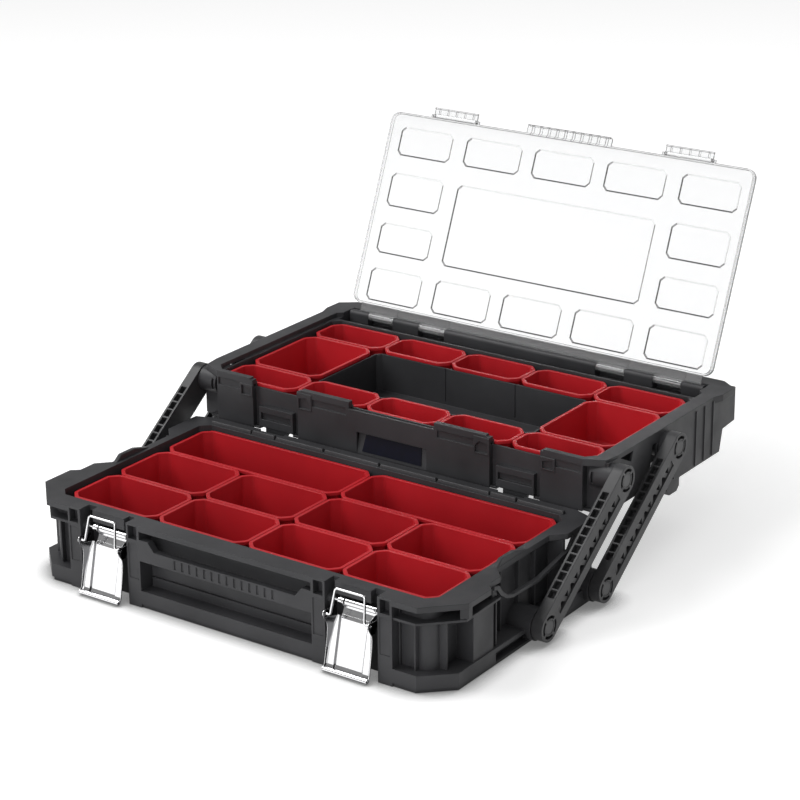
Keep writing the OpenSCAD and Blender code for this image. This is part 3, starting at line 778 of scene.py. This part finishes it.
class RoundBar(Workpiece):
    """A round bar along X."""

    def __init__(self, name: str, ends: Point, at: Point, radius: float, sides: int) -> None:
        """Starts from a cylinder, in millimetres.

        Args:
            name: Name of the finished piece.
            ends: Both ends along X.
            at: Y and Z of its middle.
            radius: Its radius.
            sides: Number of faces around it.
        """
        select_only()
        bpy.ops.mesh.primitive_cylinder_add(
            vertices=sides, radius=radius * MM, depth=(ends[1] - ends[0]) * MM,
            location=Vector((sum(ends) / 2, *at)) * MM, rotation=(0, math.pi / 2, 0),
        )
        self.take(name)


class ShapedSheet(Workpiece):
    """A thin sheet that is drawn out row by row from a flat grid."""

    def __init__(self, name: str, rows: Sequence[Sequence[Point]]) -> None:
        """Starts from a grid and puts its points on the rows.

        Args:
            name: Name of the finished piece.
            rows: Rows of points in millimetres, each from left to right.
        """
        select_only()
        bpy.ops.mesh.primitive_grid_add(
            size=2, x_subdivisions=len(rows[0]) - 1, y_subdivisions=len(rows) - 1,
        )
        self.take(name)
        ordered = sorted(
            self.object.data.vertices, key=lambda v: (round(v.co.y, 4), round(v.co.x, 4))
        )
        for vertex, point in zip(ordered, (p for row in rows for p in row), strict=True):
            vertex.co = Vector(point) * MM
        self.edit().everything()
        bpy.ops.mesh.normals_make_consistent(inside=False)
        self.leave()


def arc(centre: Point, radius: float, sweep: Pair, steps: int) -> list[Pair]:
    """Returns points on an arc in the plane of Y and Z.

    Args:
        centre: Y and Z of its centre.
        radius: Its radius.
        sweep: Its first and last angle, in degrees from +Y towards +Z.
        steps: Number of pieces between the points.

    Returns:
        Y and Z of each point.
    """
    start, end = sweep
    angles = (math.radians(start + (end - start) * i / steps) for i in range(steps + 1))
    return [(centre[0] + radius * math.cos(a), centre[1] + radius * math.sin(a)) for a in angles]


def rounded(points: Sequence[Point], radius: float, steps: int = 6) -> list[Vector]:
    """Returns a route through the points with its corners rounded.

    Args:
        points: Corners of the route.
        radius: How far before and after a corner its curve starts.
        steps: Number of pieces of each curve.

    Returns:
        The points of the rounded route.
    """
    corners = [Vector(p) for p in points]
    route = [corners[0]]
    for before, corner, after in zip(corners, corners[1:], corners[2:]):
        start = corner + (before - corner).normalized() * radius
        end = corner + (after - corner).normalized() * radius
        for i in range(steps + 1):
            t = i / steps
            route.append(start.lerp(corner, t).lerp(corner.lerp(end, t), t))
    return route + [corners[-1]]


def wire_piece(name: str, route: Sequence[Vector], radius: float) -> bpy.types.Object:
    """Bends a round wire along a route and makes it a mesh with closed ends.

    Args:
        name: Name of the piece.
        route: Points along the middle of the wire.
        radius: Radius of the wire.

    Returns:
        The finished mesh object, at the origin.
    """
    data = bpy.data.curves.new(name, "CURVE")
    data.dimensions = "3D"
    data.bevel_depth = radius
    data.bevel_resolution = 4
    data.use_fill_caps = True
    spline = data.splines.new("POLY")
    spline.points.add(len(route) - 1)
    for target, point in zip(spline.points, route):
        target.co = (*point, 1)
    piece = bpy.data.objects.new(name, data)
    bpy.context.scene.collection.objects.link(piece)
    select_only(piece)
    bpy.ops.object.convert(target="MESH")
    bpy.ops.object.shade_smooth_by_angle(angle=math.radians(50))
    return bpy.context.object


def body_of(node: str) -> str:
    """Returns the name of the body that a node belongs to."""
    bodies = frame["record"]["behaviour"]["bodies"]
    return next(name for name, nodes in bodies.items() if node in nodes)


# --------------------------------------------------------------------- bins


@dataclass
class LiftOutBins:
    """The red bins: drafted cups with a rounded rim."""

    finishes: Finishes
    draft: float = 3.2 * MM
    wall: float = 1.25 * MM
    rim: float = 1.3 * MM
    rim_height: float = 2.6 * MM
    rim_round: float = 0.55 * MM
    rim_angle: float = 40
    corner: float = 9.2 * MM
    corner_round: float = 2.4 * MM
    foot_round: float = 5.0 * MM
    round_steps: int = 4
    # bins whose sizes differ by less than this are alike
    likeness: float = 0.1 * MM

    def cup(self, node: str) -> bpy.types.Object:
        """Models the bin that stands for a node.

        Args:
            node: Name of the CAD node.

        Returns:
            The finished piece.
        """
        low, high = (Vector(corner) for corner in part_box(node))
        size = high - low
        reach = self.rim + self.wall
        inside_x, inside_y = size.x - 2 * reach, size.y - 2 * reach
        top = size.z / 2 - self.wall

        def stands(start: Vector, end: Vector) -> bool:
            """True for an upright edge."""
            return abs(start.z - end.z) > size.z / 2

        def at_top(start: Vector, end: Vector) -> bool:
            """True for an edge of the open top."""
            return min(start.z, end.z) > top - self.likeness

        work = Workpiece(node + "_cup")
        work.edit().everything().resize(inside_x, inside_y, size.z)
        work.pick_faces(looks_down)
        work.resize(1 - 2 * self.draft / inside_x, 1 - 2 * self.draft / inside_y)
        work.pick_edges(stands).bevel(self.corner)
        work.pick_edges(stands).bevel(self.corner_round, self.round_steps)
        work.pick_faces(looks_down).bevel(self.foot_round, self.round_steps)
        work.pick_faces(looks_up).move(z=-self.wall)
        bpy.ops.mesh.delete(type="ONLY_FACE")
        # the rim turns out and down
        work.pick_edges(at_top).extrude()
        work.resize((size.x - 2 * self.wall) / inside_x, (size.y - 2 * self.wall) / inside_y)
        work.extrude().move(z=-self.rim_height).leave()
        work.modify("SOLIDIFY", thickness=self.wall, offset=-1, use_even_offset=True)
        work.round_edges(self.rim_round, self.rim_angle)
        work.object.location = (low + high) / 2
        return work.smooth().settle()

    def build(self) -> None:
        """Models every bin, one cup for each size, and places the copies."""
        models: dict[tuple[int, ...], tuple[bpy.types.Object, Vector]] = {}
        for node in sorted(frame["nodes"]):
            if "_bin_" not in node:
                continue
            low, high = (Vector(corner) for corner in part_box(node))
            key = tuple(round(v / self.likeness) for v in high - low)
            if key not in models:
                piece = self.cup(node)
                models[key] = (piece, low.copy())
            else:
                model, start = models[key]
                piece = model.copy()
                piece.data = model.data.copy()
                piece.name = node + "_cup"
                piece.data.name = piece.name
                bpy.context.scene.collection.objects.link(piece)
                piece.data.transform(Matrix.Translation(low - start))
            self.finishes.place(piece, body_of(node), "bin_plastic", [node])


# ---------------------------------------------------------------- mouldings


@dataclass
class RimMouldings:
    """Raised forms on the lower rim: the side collars and the rear ridges.

    Millimetres, Y from the front wall.
    """

    finishes: Finishes
    rim_top: float = 91.0
    sunk: float = 0.4
    edge: float = 0.9
    edge_angle: float = 25
    smooth_angle: float = 40
    collar_x: Pair = (242.5, 247.9)
    collar_foot: Pair = (118.0, 174.0)
    collar_crown: Pair = (128.0, 150.0)
    collar_crown_x: float = 0.9
    collar_height: float = 6.4
    # how far below the collar's top its crown is moved along with it
    crown_band: float = 2.0
    ridge_y: Pair = (266.4, 272.6)
    ridge_crown: Pair = (0.97, 0.62)
    # both ends along X from the middle, and the height above the rim
    ridges: tuple[Triple, ...] = (
        (0.6, 74.0, 3.4), (75.4, 141.0, 3.4), (142.2, 173.8, 4.3), (175.0, 232.0, 3.4),
    )

    def mound(self, name: str, x: Point, y: Point, height: float, crown: Point) -> bpy.types.Object:
        """Models a mound on the rim with a narrower crown.

        Args:
            name: Name of the piece.
            x: Its two ends along X.
            y: Its two ends along Y at the foot.
            height: Its height above the rim.
            crown: Length of the crown along X and Y, as a share of the foot's.

        Returns:
            The finished piece.
        """
        low = Vector((x[0], y[0] + FRONT_Y, self.rim_top - self.sunk)) * MM
        high = Vector((x[1], y[1] + FRONT_Y, self.rim_top + height)) * MM
        work = Workpiece(name)
        work.edit().everything().resize(*(high - low))
        work.pick_faces(looks_up).resize(*crown).leave()
        work.round_edges(self.edge * MM, self.edge_angle)
        work.object.location = (low + high) / 2
        return work.smooth(self.smooth_angle).settle()

    def collar(self, side: Side) -> bpy.types.Object:
        """Models the collar of one side.

        Args:
            side: The side of the box.

        Returns:
            The finished piece.
        """
        share = (self.collar_crown[1] - self.collar_crown[0]) / (
            self.collar_foot[1] - self.collar_foot[0]
        )
        piece = self.mound(
            f"rim_collar_{side.word}", side.span(self.collar_x), self.collar_foot,
            self.collar_height, (self.collar_crown_x, share),
        )
        forward = sum(self.collar_crown) / 2 - sum(self.collar_foot) / 2
        crown_z = (self.rim_top + self.collar_height - self.crown_band) * MM
        for vertex in piece.data.vertices:
            if vertex.co.z > crown_z:
                vertex.co.y += forward * MM
        return piece

    def build(self) -> None:
        """Models the mouldings of both sides and places them."""
        for side in Side:
            self.finishes.place(self.collar(side), "lower_box", "tub_plastic")
            for i, (near, far, height) in enumerate(self.ridges):
                ridge = self.mound(
                    f"rim_ridge_{side.word}_{i + 1}", side.span((near, far)), self.ridge_y,
                    height, self.ridge_crown,
                )
                self.finishes.place(ridge, "lower_box", "tub_plastic")


# ------------------------------------------------------------------ latches


@dataclass
class DrawLatch:
    """One of the two draw latches: a tray-shaped lever and its wire bail.

    Millimetres, X from the latch's middle and Y from the front wall.
    """

    side: Side
    finishes: Finishes
    centre_x: float = 157.7
    sheet: float = 1.0
    cheek_sheet: float = 0.9
    edge: float = 0.3
    edge_angle: float = 50
    smooth_angle: float = 15
    # the hinge barrel's Y and Z, and the curls of sheet about it
    barrel: Pair = (9.0, 71.0)
    curl: float = 3.6
    curl_sweep: Pair = (-140, -395)
    curl_end: Pair = (12.2, 66.2)
    curl_steps: int = 20
    curl_spans: tuple[Pair, ...] = ((-19.5, -12.9), (-11.5, 26.0))
    # the bail's eye, Y and Z, and the ears about it
    eye: Pair = (-6.0, 60.5)
    ear: float = 3.7
    ear_edge: float = 0.25
    ear_sides: int = 32
    # the rolled tip, Y and Z of its middle and of the end of its sheet
    tip: Pair = (-11.5, 3.7)
    tip_start: Pair = (-8.5, 3.4)
    tip_roll: float = 1.9
    tip_sweep: Pair = (-60, -330)
    tip_steps: int = 22
    # the face leans by its slope from one point, and its foot bends forward
    face_at: Pair = (4.6, 53.6)
    face_slope: float = 0.2302
    foot_top: float = 7.6
    foot_slope: float = 0.62
    fold: Pair = (1.4, 1.0)
    flange_x: float = 26.8
    # the sunk panel: its half width, where its slope ends, its depth
    panel_half: float = 15.9
    panel_edge: float = 17.6
    panel_depth: float = 1.7
    # above this height the panel lies where the neck starts
    neck_z: float = 54.0
    neck_y: float = 8.3
    # height, half of the face, and front of the flanges at that height
    stations: tuple[Triple, ...] = (
        (3.4, 25.0, -11.9), (5.2, 25.0, -10.6), (7.6, 24.9, -8.9), (11.0, 24.8, -8.0),
        (24.0, 24.2, -5.6), (36.0, 22.9, -3.5), (44.0, 21.8, -2.8), (49.0, 20.8, -3.4),
        (53.6, 19.4, -5.6), (57.0, 18.4, -8.4),
    )
    # left end, right end, Y and height
    neck_rows: tuple[tuple[float, ...], ...] = (
        (-16.2, 17.0, 8.2, 56.8), (-16.6, 20.0, 11.9, 62.8), (-19.4, 24.5, 12.2, 66.6),
    )
    # height, front, and how far behind the face the cheek ends
    cheek_rows: tuple[Triple, ...] = (
        (50.0, -4.0, -1.5), (56.0, -8.0, 0.6), (60.0, -8.6, 3.0), (63.0, -7.6, 5.5),
    )
    # the bail: its wire and bends, its half width at the eyes' ends, the
    # knees and the crown, and the crown's Y and Z
    wire: float = 1.3
    bail_bend: float = 2.6
    bail_halves: Triple = (29.0, 20.4, 17.5)
    bail_crown: Pair = (-0.5, 87.3)

    def face_y(self, z: float) -> float:
        """Finds where the lever's face lies at a height.

        Args:
            z: The height.

        Returns:
            Y of the face.
        """
        y, at_z = self.face_at
        foot = max(0.0, self.foot_top - z) * self.foot_slope
        return y + (max(z, self.foot_top) - at_z) * self.face_slope - foot

    def _at(self, piece: bpy.types.Object) -> bpy.types.Object:
        """Moves a piece drawn about the latch's centre to its side of the box.

        Args:
            piece: The piece, which is moved in its mesh.

        Returns:
            The same piece.
        """
        centre = Vector((self.side.value * self.centre_x, FRONT_Y, 0)) * MM
        piece.data.transform(Matrix.Translation(centre))
        return piece

    def tray_row(self, z: float, half: float, front: float) -> list[Point]:
        """Returns the tray's points across one height.

        Args:
            z: The height.
            half: Half width of the face.
            front: Y of the flanges' front edge.

        Returns:
            The points from left to right.
        """
        face = self.face_y(z)
        deep = self.neck_y if z > self.neck_z else face + self.panel_depth
        out, back = self.fold
        right = [
            (self.panel_half, deep), (self.panel_edge, face), (half, face),
            (half + out, face - back), (self.flange_x, front),
        ]
        return [(x, y, z) for x, y in [(-x, y) for x, y in reversed(right)] + right]

    def ear_piece(self, x: float) -> Workpiece:
        """Models the ear about one eye, a disc with softened edges.

        Args:
            x: Its place along X.

        Returns:
            The ear.
        """
        ends = (x - self.sheet / 2, x + self.sheet / 2)
        ear = RoundBar("lever_ear", ends, self.eye, self.ear, self.ear_sides)
        ear.edit().pick_edges(lambda a, b: a.z * b.z > 0).bevel(self.ear_edge * MM, 2)
        ear.leave().settle()
        return ear

    def cheek(self, x: float) -> Workpiece:
        """Models the web between a flange and its ear.

        Args:
            x: Its place along X.

        Returns:
            The web, with its thickness.
        """
        cheek = ShapedSheet("lever_cheek", [
            [(x, self.face_y(z) + back, z), (x, front, z)] for z, front, back in self.cheek_rows
        ])
        return cheek.modify("SOLIDIFY", thickness=self.cheek_sheet * MM, offset=0)

    def sheet_parts(self) -> list[Workpiece]:
        """Models the lever's tray, neck, tip, hinge curls, ears and cheeks.

        Returns:
            The parts, each with the thickness of its sheet.
        """
        tip = [self.tip_start] + arc(self.tip, self.tip_roll, self.tip_sweep, self.tip_steps)
        curl = arc(self.barrel, self.curl, self.curl_sweep, self.curl_steps) + [self.curl_end]
        parts: list[Workpiece] = [
            ShapedSheet("lever_tray", [self.tray_row(*row) for row in self.stations]),
            ShapedSheet("lever_neck", [
                [(left, y, z), (right, y, z)] for left, right, y, z in self.neck_rows
            ]),
            ShapedSheet("lever_tip", [
                [(-self.flange_x, y, z), (self.flange_x, y, z)] for y, z in tip
            ]),
        ]
        for left, right in self.curl_spans:
            parts.append(ShapedSheet("lever_curl", [[(left, y, z), (right, y, z)] for y, z in curl]))
        for part in parts:
            part.modify("SOLIDIFY", thickness=self.sheet * MM, offset=0, use_even_offset=True)
        for x in (-self.flange_x, self.flange_x):
            parts += [self.ear_piece(x), self.cheek(x)]
        return parts

    def lever(self) -> bpy.types.Object:
        """Joins the lever's sheet parts into one piece.

        Returns:
            The finished piece.
        """
        parts = self.sheet_parts()
        select_only(*(part.object for part in parts))
        bpy.ops.object.join()
        work = parts[0]
        work.take(f"latch_lever_{self.side.word}_sheet")
        work.round_edges(self.edge * MM, self.edge_angle, 2)
        return self._at(work.smooth(self.smooth_angle).settle())

    def bail(self) -> bpy.types.Object:
        """Bends the wire bail with its legs and eyes.

        Returns:
            The finished piece.
        """
        end, knee, top = self.bail_halves
        right = [(top, *self.bail_crown), (knee, *self.eye), (end, *self.eye)]
        corners = [(-x, y, z) for x, y, z in reversed(right)] + right
        route = rounded([Vector(c) * MM for c in corners], self.bail_bend * MM)
        return self._at(wire_piece(f"latch_bail_{self.side.word}_wire", route, self.wire * MM))

    def build(self) -> None:
        """Models both pieces and places them."""
        for kind, piece in (("lever", self.lever()), ("bail", self.bail())):
            node = f"latch_{kind}_{self.side.word}"
            self.finishes.place(piece, node, "latch_steel", [node])


# ---------------------------------------------------------------------- lid


@dataclass
class ClearLid:
    """The clear lid: a skirted sheet with raised panels, grip and knuckles.

    Millimetres in the closed lid's frame, from the front wall and the
    underside of the upper box, as the part's source draws it. Parts that are
    joined to the sheet stay clear of its faces by a small step, so that no
    two faces coincide.
    """

    finishes: Finishes
    half: float = 243.6
    front: float = 10.2
    rear: float = 243.0
    under: float = 58.4
    thick: float = 1.8
    skirt: float = 4.6
    corner: float = 10.5
    ring_margin: float = 0.2
    corner_margin: float = 1.0
    hinge: Pair = (257.4, 54.3)
    turn: float = 112.7
    # raised panels: ends along X, and distances from the rear edge
    columns: tuple[Pair, ...] = ((-229, -154), (-135, -57), (-40, 40), (57, 135), (154, 229))
    rows: tuple[Pair, ...] = ((182, 217), (120, 161), (63, 100), (5, 45))
    middle_column: Pair = (-134, 134)
    middle_row: Pair = (62, 160)
    panel_lift: float = 0.7
    panel_sunk: float = 0.05
    panel_corner: float = 5.0
    panel_slope: float = 1.7
    strip_bite: float = 3.0
    strip_end: float = 254.6
    strip_half: float = 232.0
    strip_thick: float = 1.4
    strip_step: float = 0.01
    grip_half: float = 57.0
    grip_y: Pair = (0.2, 14.0)
    grip_corner: float = 3.0
    grip_step: float = 0.02
    lip_half: float = 55.0
    lip_y: Pair = (0.1, 1.7)
    lip_drop: float = 3.0
    lip_step: float = 0.6
    ribs: int = 10
    rib_start: float = -51.0
    rib_pitch: float = 11.0
    rib_width: float = 3.0
    rib_y: Pair = (0.5, 12.0)
    rib_sunk: float = 0.6
    rib_height: float = 1.4
    knuckle: float = 4.6
    knuckle_spans: tuple[Pair, ...] = ((103.5, 139.9), (177.5, 212.5))
    tongue_bite: float = 4.0
    tongue_rise: float = 2.6
    tongue_step: float = 0.1
    rod_bore: float = 1.56
    bore_span: Pair = (90, 230)
    bar_sides: int = 40
    # the lugs on both sides of each clip
    clip_x: float = 157.0
    clip_half: float = 31.0
    lug_gap: float = 1.8
    lug_half: float = 1.2
    lug_y: Pair = (6.2, 12.0)
    lug_step: float = 0.05

    @property
    def top(self) -> float:
        """Height of the lid's flat top when closed."""
        return self.under + self.thick

    def panel_rects(self) -> list[tuple[Pair, Pair]]:
        """Lays out the raised panels: a ring of small ones about a large one.

        Returns:
            Both ends along X and both along Y of each.
        """
        last_row, last_column = len(self.rows) - 1, len(self.columns) - 1
        cells = [
            (column, row)
            for c, column in enumerate(self.columns)
            for r, row in enumerate(self.rows)
            if r in (0, last_row) or c in (0, last_column)
        ] + [(self.middle_column, self.middle_row)]
        return [(column, (self.rear - far, self.rear - near)) for column, (near, far) in cells]

    def slab(
        self, name: str, x: Point, y: Point, z: Point, corner: float = 0, segments: int = 5,
    ) -> Workpiece:
        """Models a slab with rounded or cut upright edges.

        Args:
            name: Name of the workpiece.
            x: Its two ends along X.
            y: Its two ends along Y.
            z: Its underside and top.
            corner: Radius of its upright edges.
            segments: Faces of each rounded edge, 1 for a straight cut.

        Returns:
            The workpiece, with its place applied.
        """
        start, end = (Vector(point) * MM for point in zip(x, y, z))
        size = end - start
        work = Workpiece(name)
        work.edit().everything().resize(*size)
        if corner:
            work.pick_edges(lambda a, b: abs(a.z - b.z) > LEVEL * size.z)
            work.bevel(corner * MM, segments)
        work.leave()
        work.object.location = (start + end) / 2
        work.settle()
        return work

    def rod(self, name: str, ends: Point, radius: float) -> Workpiece:
        """Models a round rod on the hinge's axis.

        Args:
            name: Name of the workpiece.
            ends: Both ends along X.
            radius: Its radius.

        Returns:
            The workpiece, with its place applied.
        """
        work = RoundBar(name, ends, self.hinge, radius, self.bar_sides)
        work.settle()
        return work

    def in_ring(self, centre: Vector) -> bool:
        """Tells whether a face below the sheet belongs to the skirt's ring.

        Args:
            centre: The face's centre, in metres.

        Returns:
            True for the ring's straight runs and its rounded corners.
        """
        x, y = abs(centre.x), centre.y
        run = self.thick + self.ring_margin
        bend = self.corner + self.corner_margin
        ends = [((self.front + reach) * MM, (self.rear - reach) * MM) for reach in (run, bend)]
        if x > (self.half - run) * MM or y < ends[0][0] or y > ends[0][1]:
            return True
        return x > (self.half - bend) * MM and (y < ends[1][0] or y > ends[1][1])

    def sheet(self) -> Workpiece:
        """Models the sheet with its skirt.

        Returns:
            The workpiece that the other parts are joined to.
        """
        work = self.slab(
            "lid_sheet", (-self.half, self.half), (self.front, self.rear),
            (self.under, self.top), self.corner,
        )
        work.edit().pick_faces(looks_down)
        bpy.ops.mesh.inset(thickness=self.thick * MM)
        work.pick_faces(lambda c, n: looks_down(c, n) and self.in_ring(c))
        return work.extrude().move(z=-self.skirt * MM).leave()

    def panels(self) -> list[Workpiece]:
        """Models the raised panels with their sloped edges.

        Returns:
            The panels.
        """
        found = []
        for i, (x, y) in enumerate(self.panel_rects()):
            panel = self.slab(
                f"lid_panel_{i}", x, y, (self.top - self.panel_sunk, self.top + self.panel_lift),
                self.panel_corner, 1,
            )
            panel.edit().pick_faces(looks_up)
            panel.resize(*(1 - 2 * self.panel_slope / (end - start) for start, end in (x, y)))
            found.append(panel.leave())
        return found

    def grip(self) -> list[Workpiece]:
        """Models the strip at the hinge edge, and the grip with its lip and ribs.

        Returns:
            The parts.
        """
        lower, upper = self.under, self.top
        found = [
            self.slab(
                "lid_strip", (-self.strip_half, self.strip_half),
                (self.rear - self.strip_bite, self.strip_end),
                (lower + self.strip_step, lower + self.strip_thick),
            ),
            self.slab(
                "lid_grip", (-self.grip_half, self.grip_half), self.grip_y,
                (lower + self.grip_step, upper - self.grip_step), self.grip_corner,
            ),
            self.slab(
                "lid_grip_lip", (-self.lip_half, self.lip_half), self.lip_y,
                (lower - self.lip_drop, upper - self.lip_step),
            ),
        ]
        for i in range(self.ribs):
            x = self.rib_start + self.rib_pitch * i
            found.append(self.slab(
                f"lid_rib_{i}", (x, x + self.rib_width), self.rib_y,
                (upper - self.rib_sunk, upper + self.rib_height),
            ))
        return found

    def tongue(self, ends: Point) -> Workpiece:
        """Models the tongue that rises from the sheet to a knuckle.

        Args:
            ends: Both ends along X.

        Returns:
            The tongue.
        """
        axis_y, axis_z = self.hinge
        work = self.slab(
            "lid_tongue", ends, (self.rear - self.tongue_bite, axis_y),
            (self.under + self.tongue_step, self.top - self.tongue_step),
        )
        work.edit().pick_faces(lambda c, n: n.y > LEVEL)
        return work.move(z=(axis_z + self.tongue_rise - self.under) * MM).leave()

    def hinge_parts(self) -> list[Workpiece]:
        """Models the knuckles and tongues, and the lugs beside the clips.

        Returns:
            The parts.
        """
        found = []
        for side in Side:
            for span in self.knuckle_spans:
                ends = side.span(span)
                found += [self.rod("lid_knuckle", ends, self.knuckle), self.tongue(ends)]
            for reach in (-1, 1):
                x = side.value * self.clip_x + reach * (self.clip_half + self.lug_gap)
                found.append(self.slab(
                    "lid_lug", (x - self.lug_half, x + self.lug_half), self.lug_y,
                    (self.under + self.lug_step, self.top - self.lug_step),
                ))
        return found

    def build(self) -> None:
        """Joins the parts into one closed piece, opens it and places it."""
        lid = self.sheet()
        added = self.panels() + self.grip() + self.hinge_parts()
        steps = [("UNION", part) for part in added] + [
            ("DIFFERENCE", self.rod("lid_bore", side.span(self.bore_span), self.rod_bore))
            for side in Side
        ]
        for operation, part in steps:
            lid.modify("BOOLEAN", operation=operation, object=part.object, solver="EXACT")
            bpy.data.objects.remove(part.object)
        piece = lid.flat().settle()
        piece.name = "lid_clear_sheet"
        axis = next(row for row in frame["joints"] if row["name"] == "lid_hinge")["pos_m"]
        to_axis = Matrix.Translation(-Vector((0, *self.hinge)) * MM)
        opened = Matrix.Rotation(-math.radians(self.turn), 4, "X")
        piece.data.transform(Matrix.Translation(Vector(axis)) @ opened @ to_axis)
        self.finishes.place(piece, "lid", "clear_plastic", ["lid"])


# ------------------------------------------------------------------- solids


@dataclass
class SolidDress:
    """Dresses the CAD nodes that stay in view."""

    finishes: Finishes

    def build(self) -> None:
        """Gives each node the finish of its material slot."""
        slots = {row["node"]: row["material_slot"] for row in frame["record"]["subparts"]}
        for name, node in frame["nodes"].items():
            self.finishes.dress(node, slots[name])
            LOG.info("%s is dressed as %s", name, slots[name])


# ------------------------------------------------------------------- studio


@dataclass(frozen=True)
class Lamp:
    """A square soft lamp: its name, place, side, and power in watts."""

    name: str
    at: Triple
    side: float
    power: float

    def hang(self, aim: Point) -> None:
        """Hangs the lamp and turns it to the point that it lights.

        Args:
            aim: The point.
        """
        data = bpy.data.lights.new(self.name, "AREA")
        data.shape = "SQUARE"
        data.size = self.side
        data.energy = self.power
        lamp = bpy.data.objects.new(self.name, data)
        lamp.location = self.at
        lamp.rotation_euler = (Vector(aim) - Vector(self.at)).to_track_quat("-Z", "Y").to_euler()
        bpy.context.scene.collection.objects.link(lamp)


@dataclass
class Studio:
    """Pale floor, soft lamps and the camera at the photograph's place."""

    camera_at: Triple = (1.4552, -1.8859, 1.0993)
    turn: float = 35.36
    pitch: float = 20.58
    roll: float = -0.55
    focal_px: float = 2495.5
    sensor: float = 36.0
    far: float = 100.0
    floor_side: float = 24.0
    floor_colour: float = 0.74
    floor_glow: float = 0.5
    # a shadow is painted on the floor where the box comes near: the reach, the shares of
    # free sky between which it darkens, and the least that is left
    touch_reach: float = 0.024
    touch_ends: Pair = (0.5, 0.97)
    touch_least: float = 0.3
    touch_samples: int = 5
    ambient: float = 0.37
    # what mirrors and clear plastic see: white walls up to a grey ceiling,
    # and a dark card on the right, each between two heights or widths
    background: float = 1.0
    ceiling: float = 0.22
    ceiling_ends: Pair = (0.12, 0.4)
    card: float = 0.1
    card_ends: Pair = (0.3, 0.5)
    aim: Triple = (0, 0.15, 0.12)
    lamps: tuple[Lamp, ...] = (
        Lamp("key_lamp", (-1.6, -0.6, 2.4), 1.8, 55),
        Lamp("front_lamp", (0.4, -2.6, 1.2), 1.6, 22),
        Lamp("back_lamp", (0.6, 2.4, 2.2), 1.4, 16),
    )

    def camera(self) -> None:
        """Creates the camera and makes it the scene's own."""
        turn, pitch, roll = (math.radians(v) for v in (self.turn, self.pitch, self.roll))
        back = Vector((
            math.sin(turn) * math.cos(pitch), -math.cos(turn) * math.cos(pitch), math.sin(pitch),
        ))
        level = Vector((math.cos(turn), math.sin(turn), 0))
        rise = back.cross(level)
        right = level * math.cos(roll) + rise * math.sin(roll)
        up = rise * math.cos(roll) - level * math.sin(roll)
        data = bpy.data.cameras.new("photo_camera")
        data.sensor_width = self.sensor
        data.lens = self.focal_px / PHOTO_SIDE * self.sensor
        data.clip_end = self.far
        camera = bpy.data.objects.new("photo_camera", data)
        turned = Matrix((right, up, back)).transposed().to_4x4()
        camera.matrix_world = Matrix.Translation(Vector(self.camera_at)) @ turned
        bpy.context.scene.collection.objects.link(camera)
        bpy.context.scene.camera = camera

    def floor(self) -> None:
        """Lays a pale floor that keeps the object's shadow, with a painted shadow where the box comes near."""
        select_only()
        bpy.ops.mesh.primitive_plane_add(size=self.floor_side)
        floor = bpy.context.object
        floor.name = "studio_floor"
        sheet = NodeSheet.of_material("studio_floor")
        # painted shadow: the floor's colour and glow darken near the box
        sky = sheet.add(
            "ShaderNodeAmbientOcclusion", {"Distance": self.touch_reach},
            samples=self.touch_samples,
        )
        painted_contact_shadow = sheet.ramp(sky.outputs["AO"], self.touch_ends, self.touch_least, 1)
        lit = sheet.add(
            "ShaderNodeBsdfDiffuse", {"Color": sheet.ramp(painted_contact_shadow, (0, 1), 0, self.floor_colour)},
        )
        glow = sheet.add("ShaderNodeEmission", {
            "Color": (1, 1, 1, 1),
            "Strength": sheet.combine("MULTIPLY", sheet.seen_directly(), painted_contact_shadow, self.floor_glow),
        })
        lift = sheet.add("ShaderNodeAddShader", {0: lit.outputs[0], 1: glow.outputs[0]})
        floor.data.materials.append(sheet.finish(lift))

    def world(self) -> None:
        """Sets a surround that lights the scene at a plain level."""
        sheet = NodeSheet(bpy.data.worlds.new("studio"), "ShaderNodeOutputWorld")
        towards = sheet.add("ShaderNodeTexCoord").outputs["Generated"]
        parts = sheet.add("ShaderNodeSeparateXYZ", {0: towards}).outputs
        walls = sheet.ramp(parts["Z"], self.ceiling_ends, self.background, self.ceiling)
        card = sheet.ramp(parts["X"], self.card_ends, 1, self.card)
        shown = sheet.combine("MULTIPLY", walls, card)
        level = sheet.ramp(sheet.seen_directly(), (0, 1), self.ambient, shown)
        sky = sheet.add("ShaderNodeBackground", {"Color": (1, 1, 1, 1), "Strength": level})
        bpy.context.scene.world = sheet.finish(sky)

    def build(self) -> None:
        """Builds the whole studio."""
        bpy.context.scene.view_settings.view_transform = "Standard"
        self.camera()
        self.floor()
        self.world()
        for lamp in self.lamps:
            lamp.hang(self.aim)


def main() -> None:
    """Builds the pieces, the finishes and the studio in order."""
    logging.basicConfig(level=logging.INFO, format="%(message)s")
    finishes = Finishes()
    SolidDress(finishes).build()
    LiftOutBins(finishes).build()
    RimMouldings(finishes).build()
    ClearLid(finishes).build()
    for side in Side:
        DrawLatch(side, finishes).build()
    Studio().build()


if __name__ == "__main__":
    main()
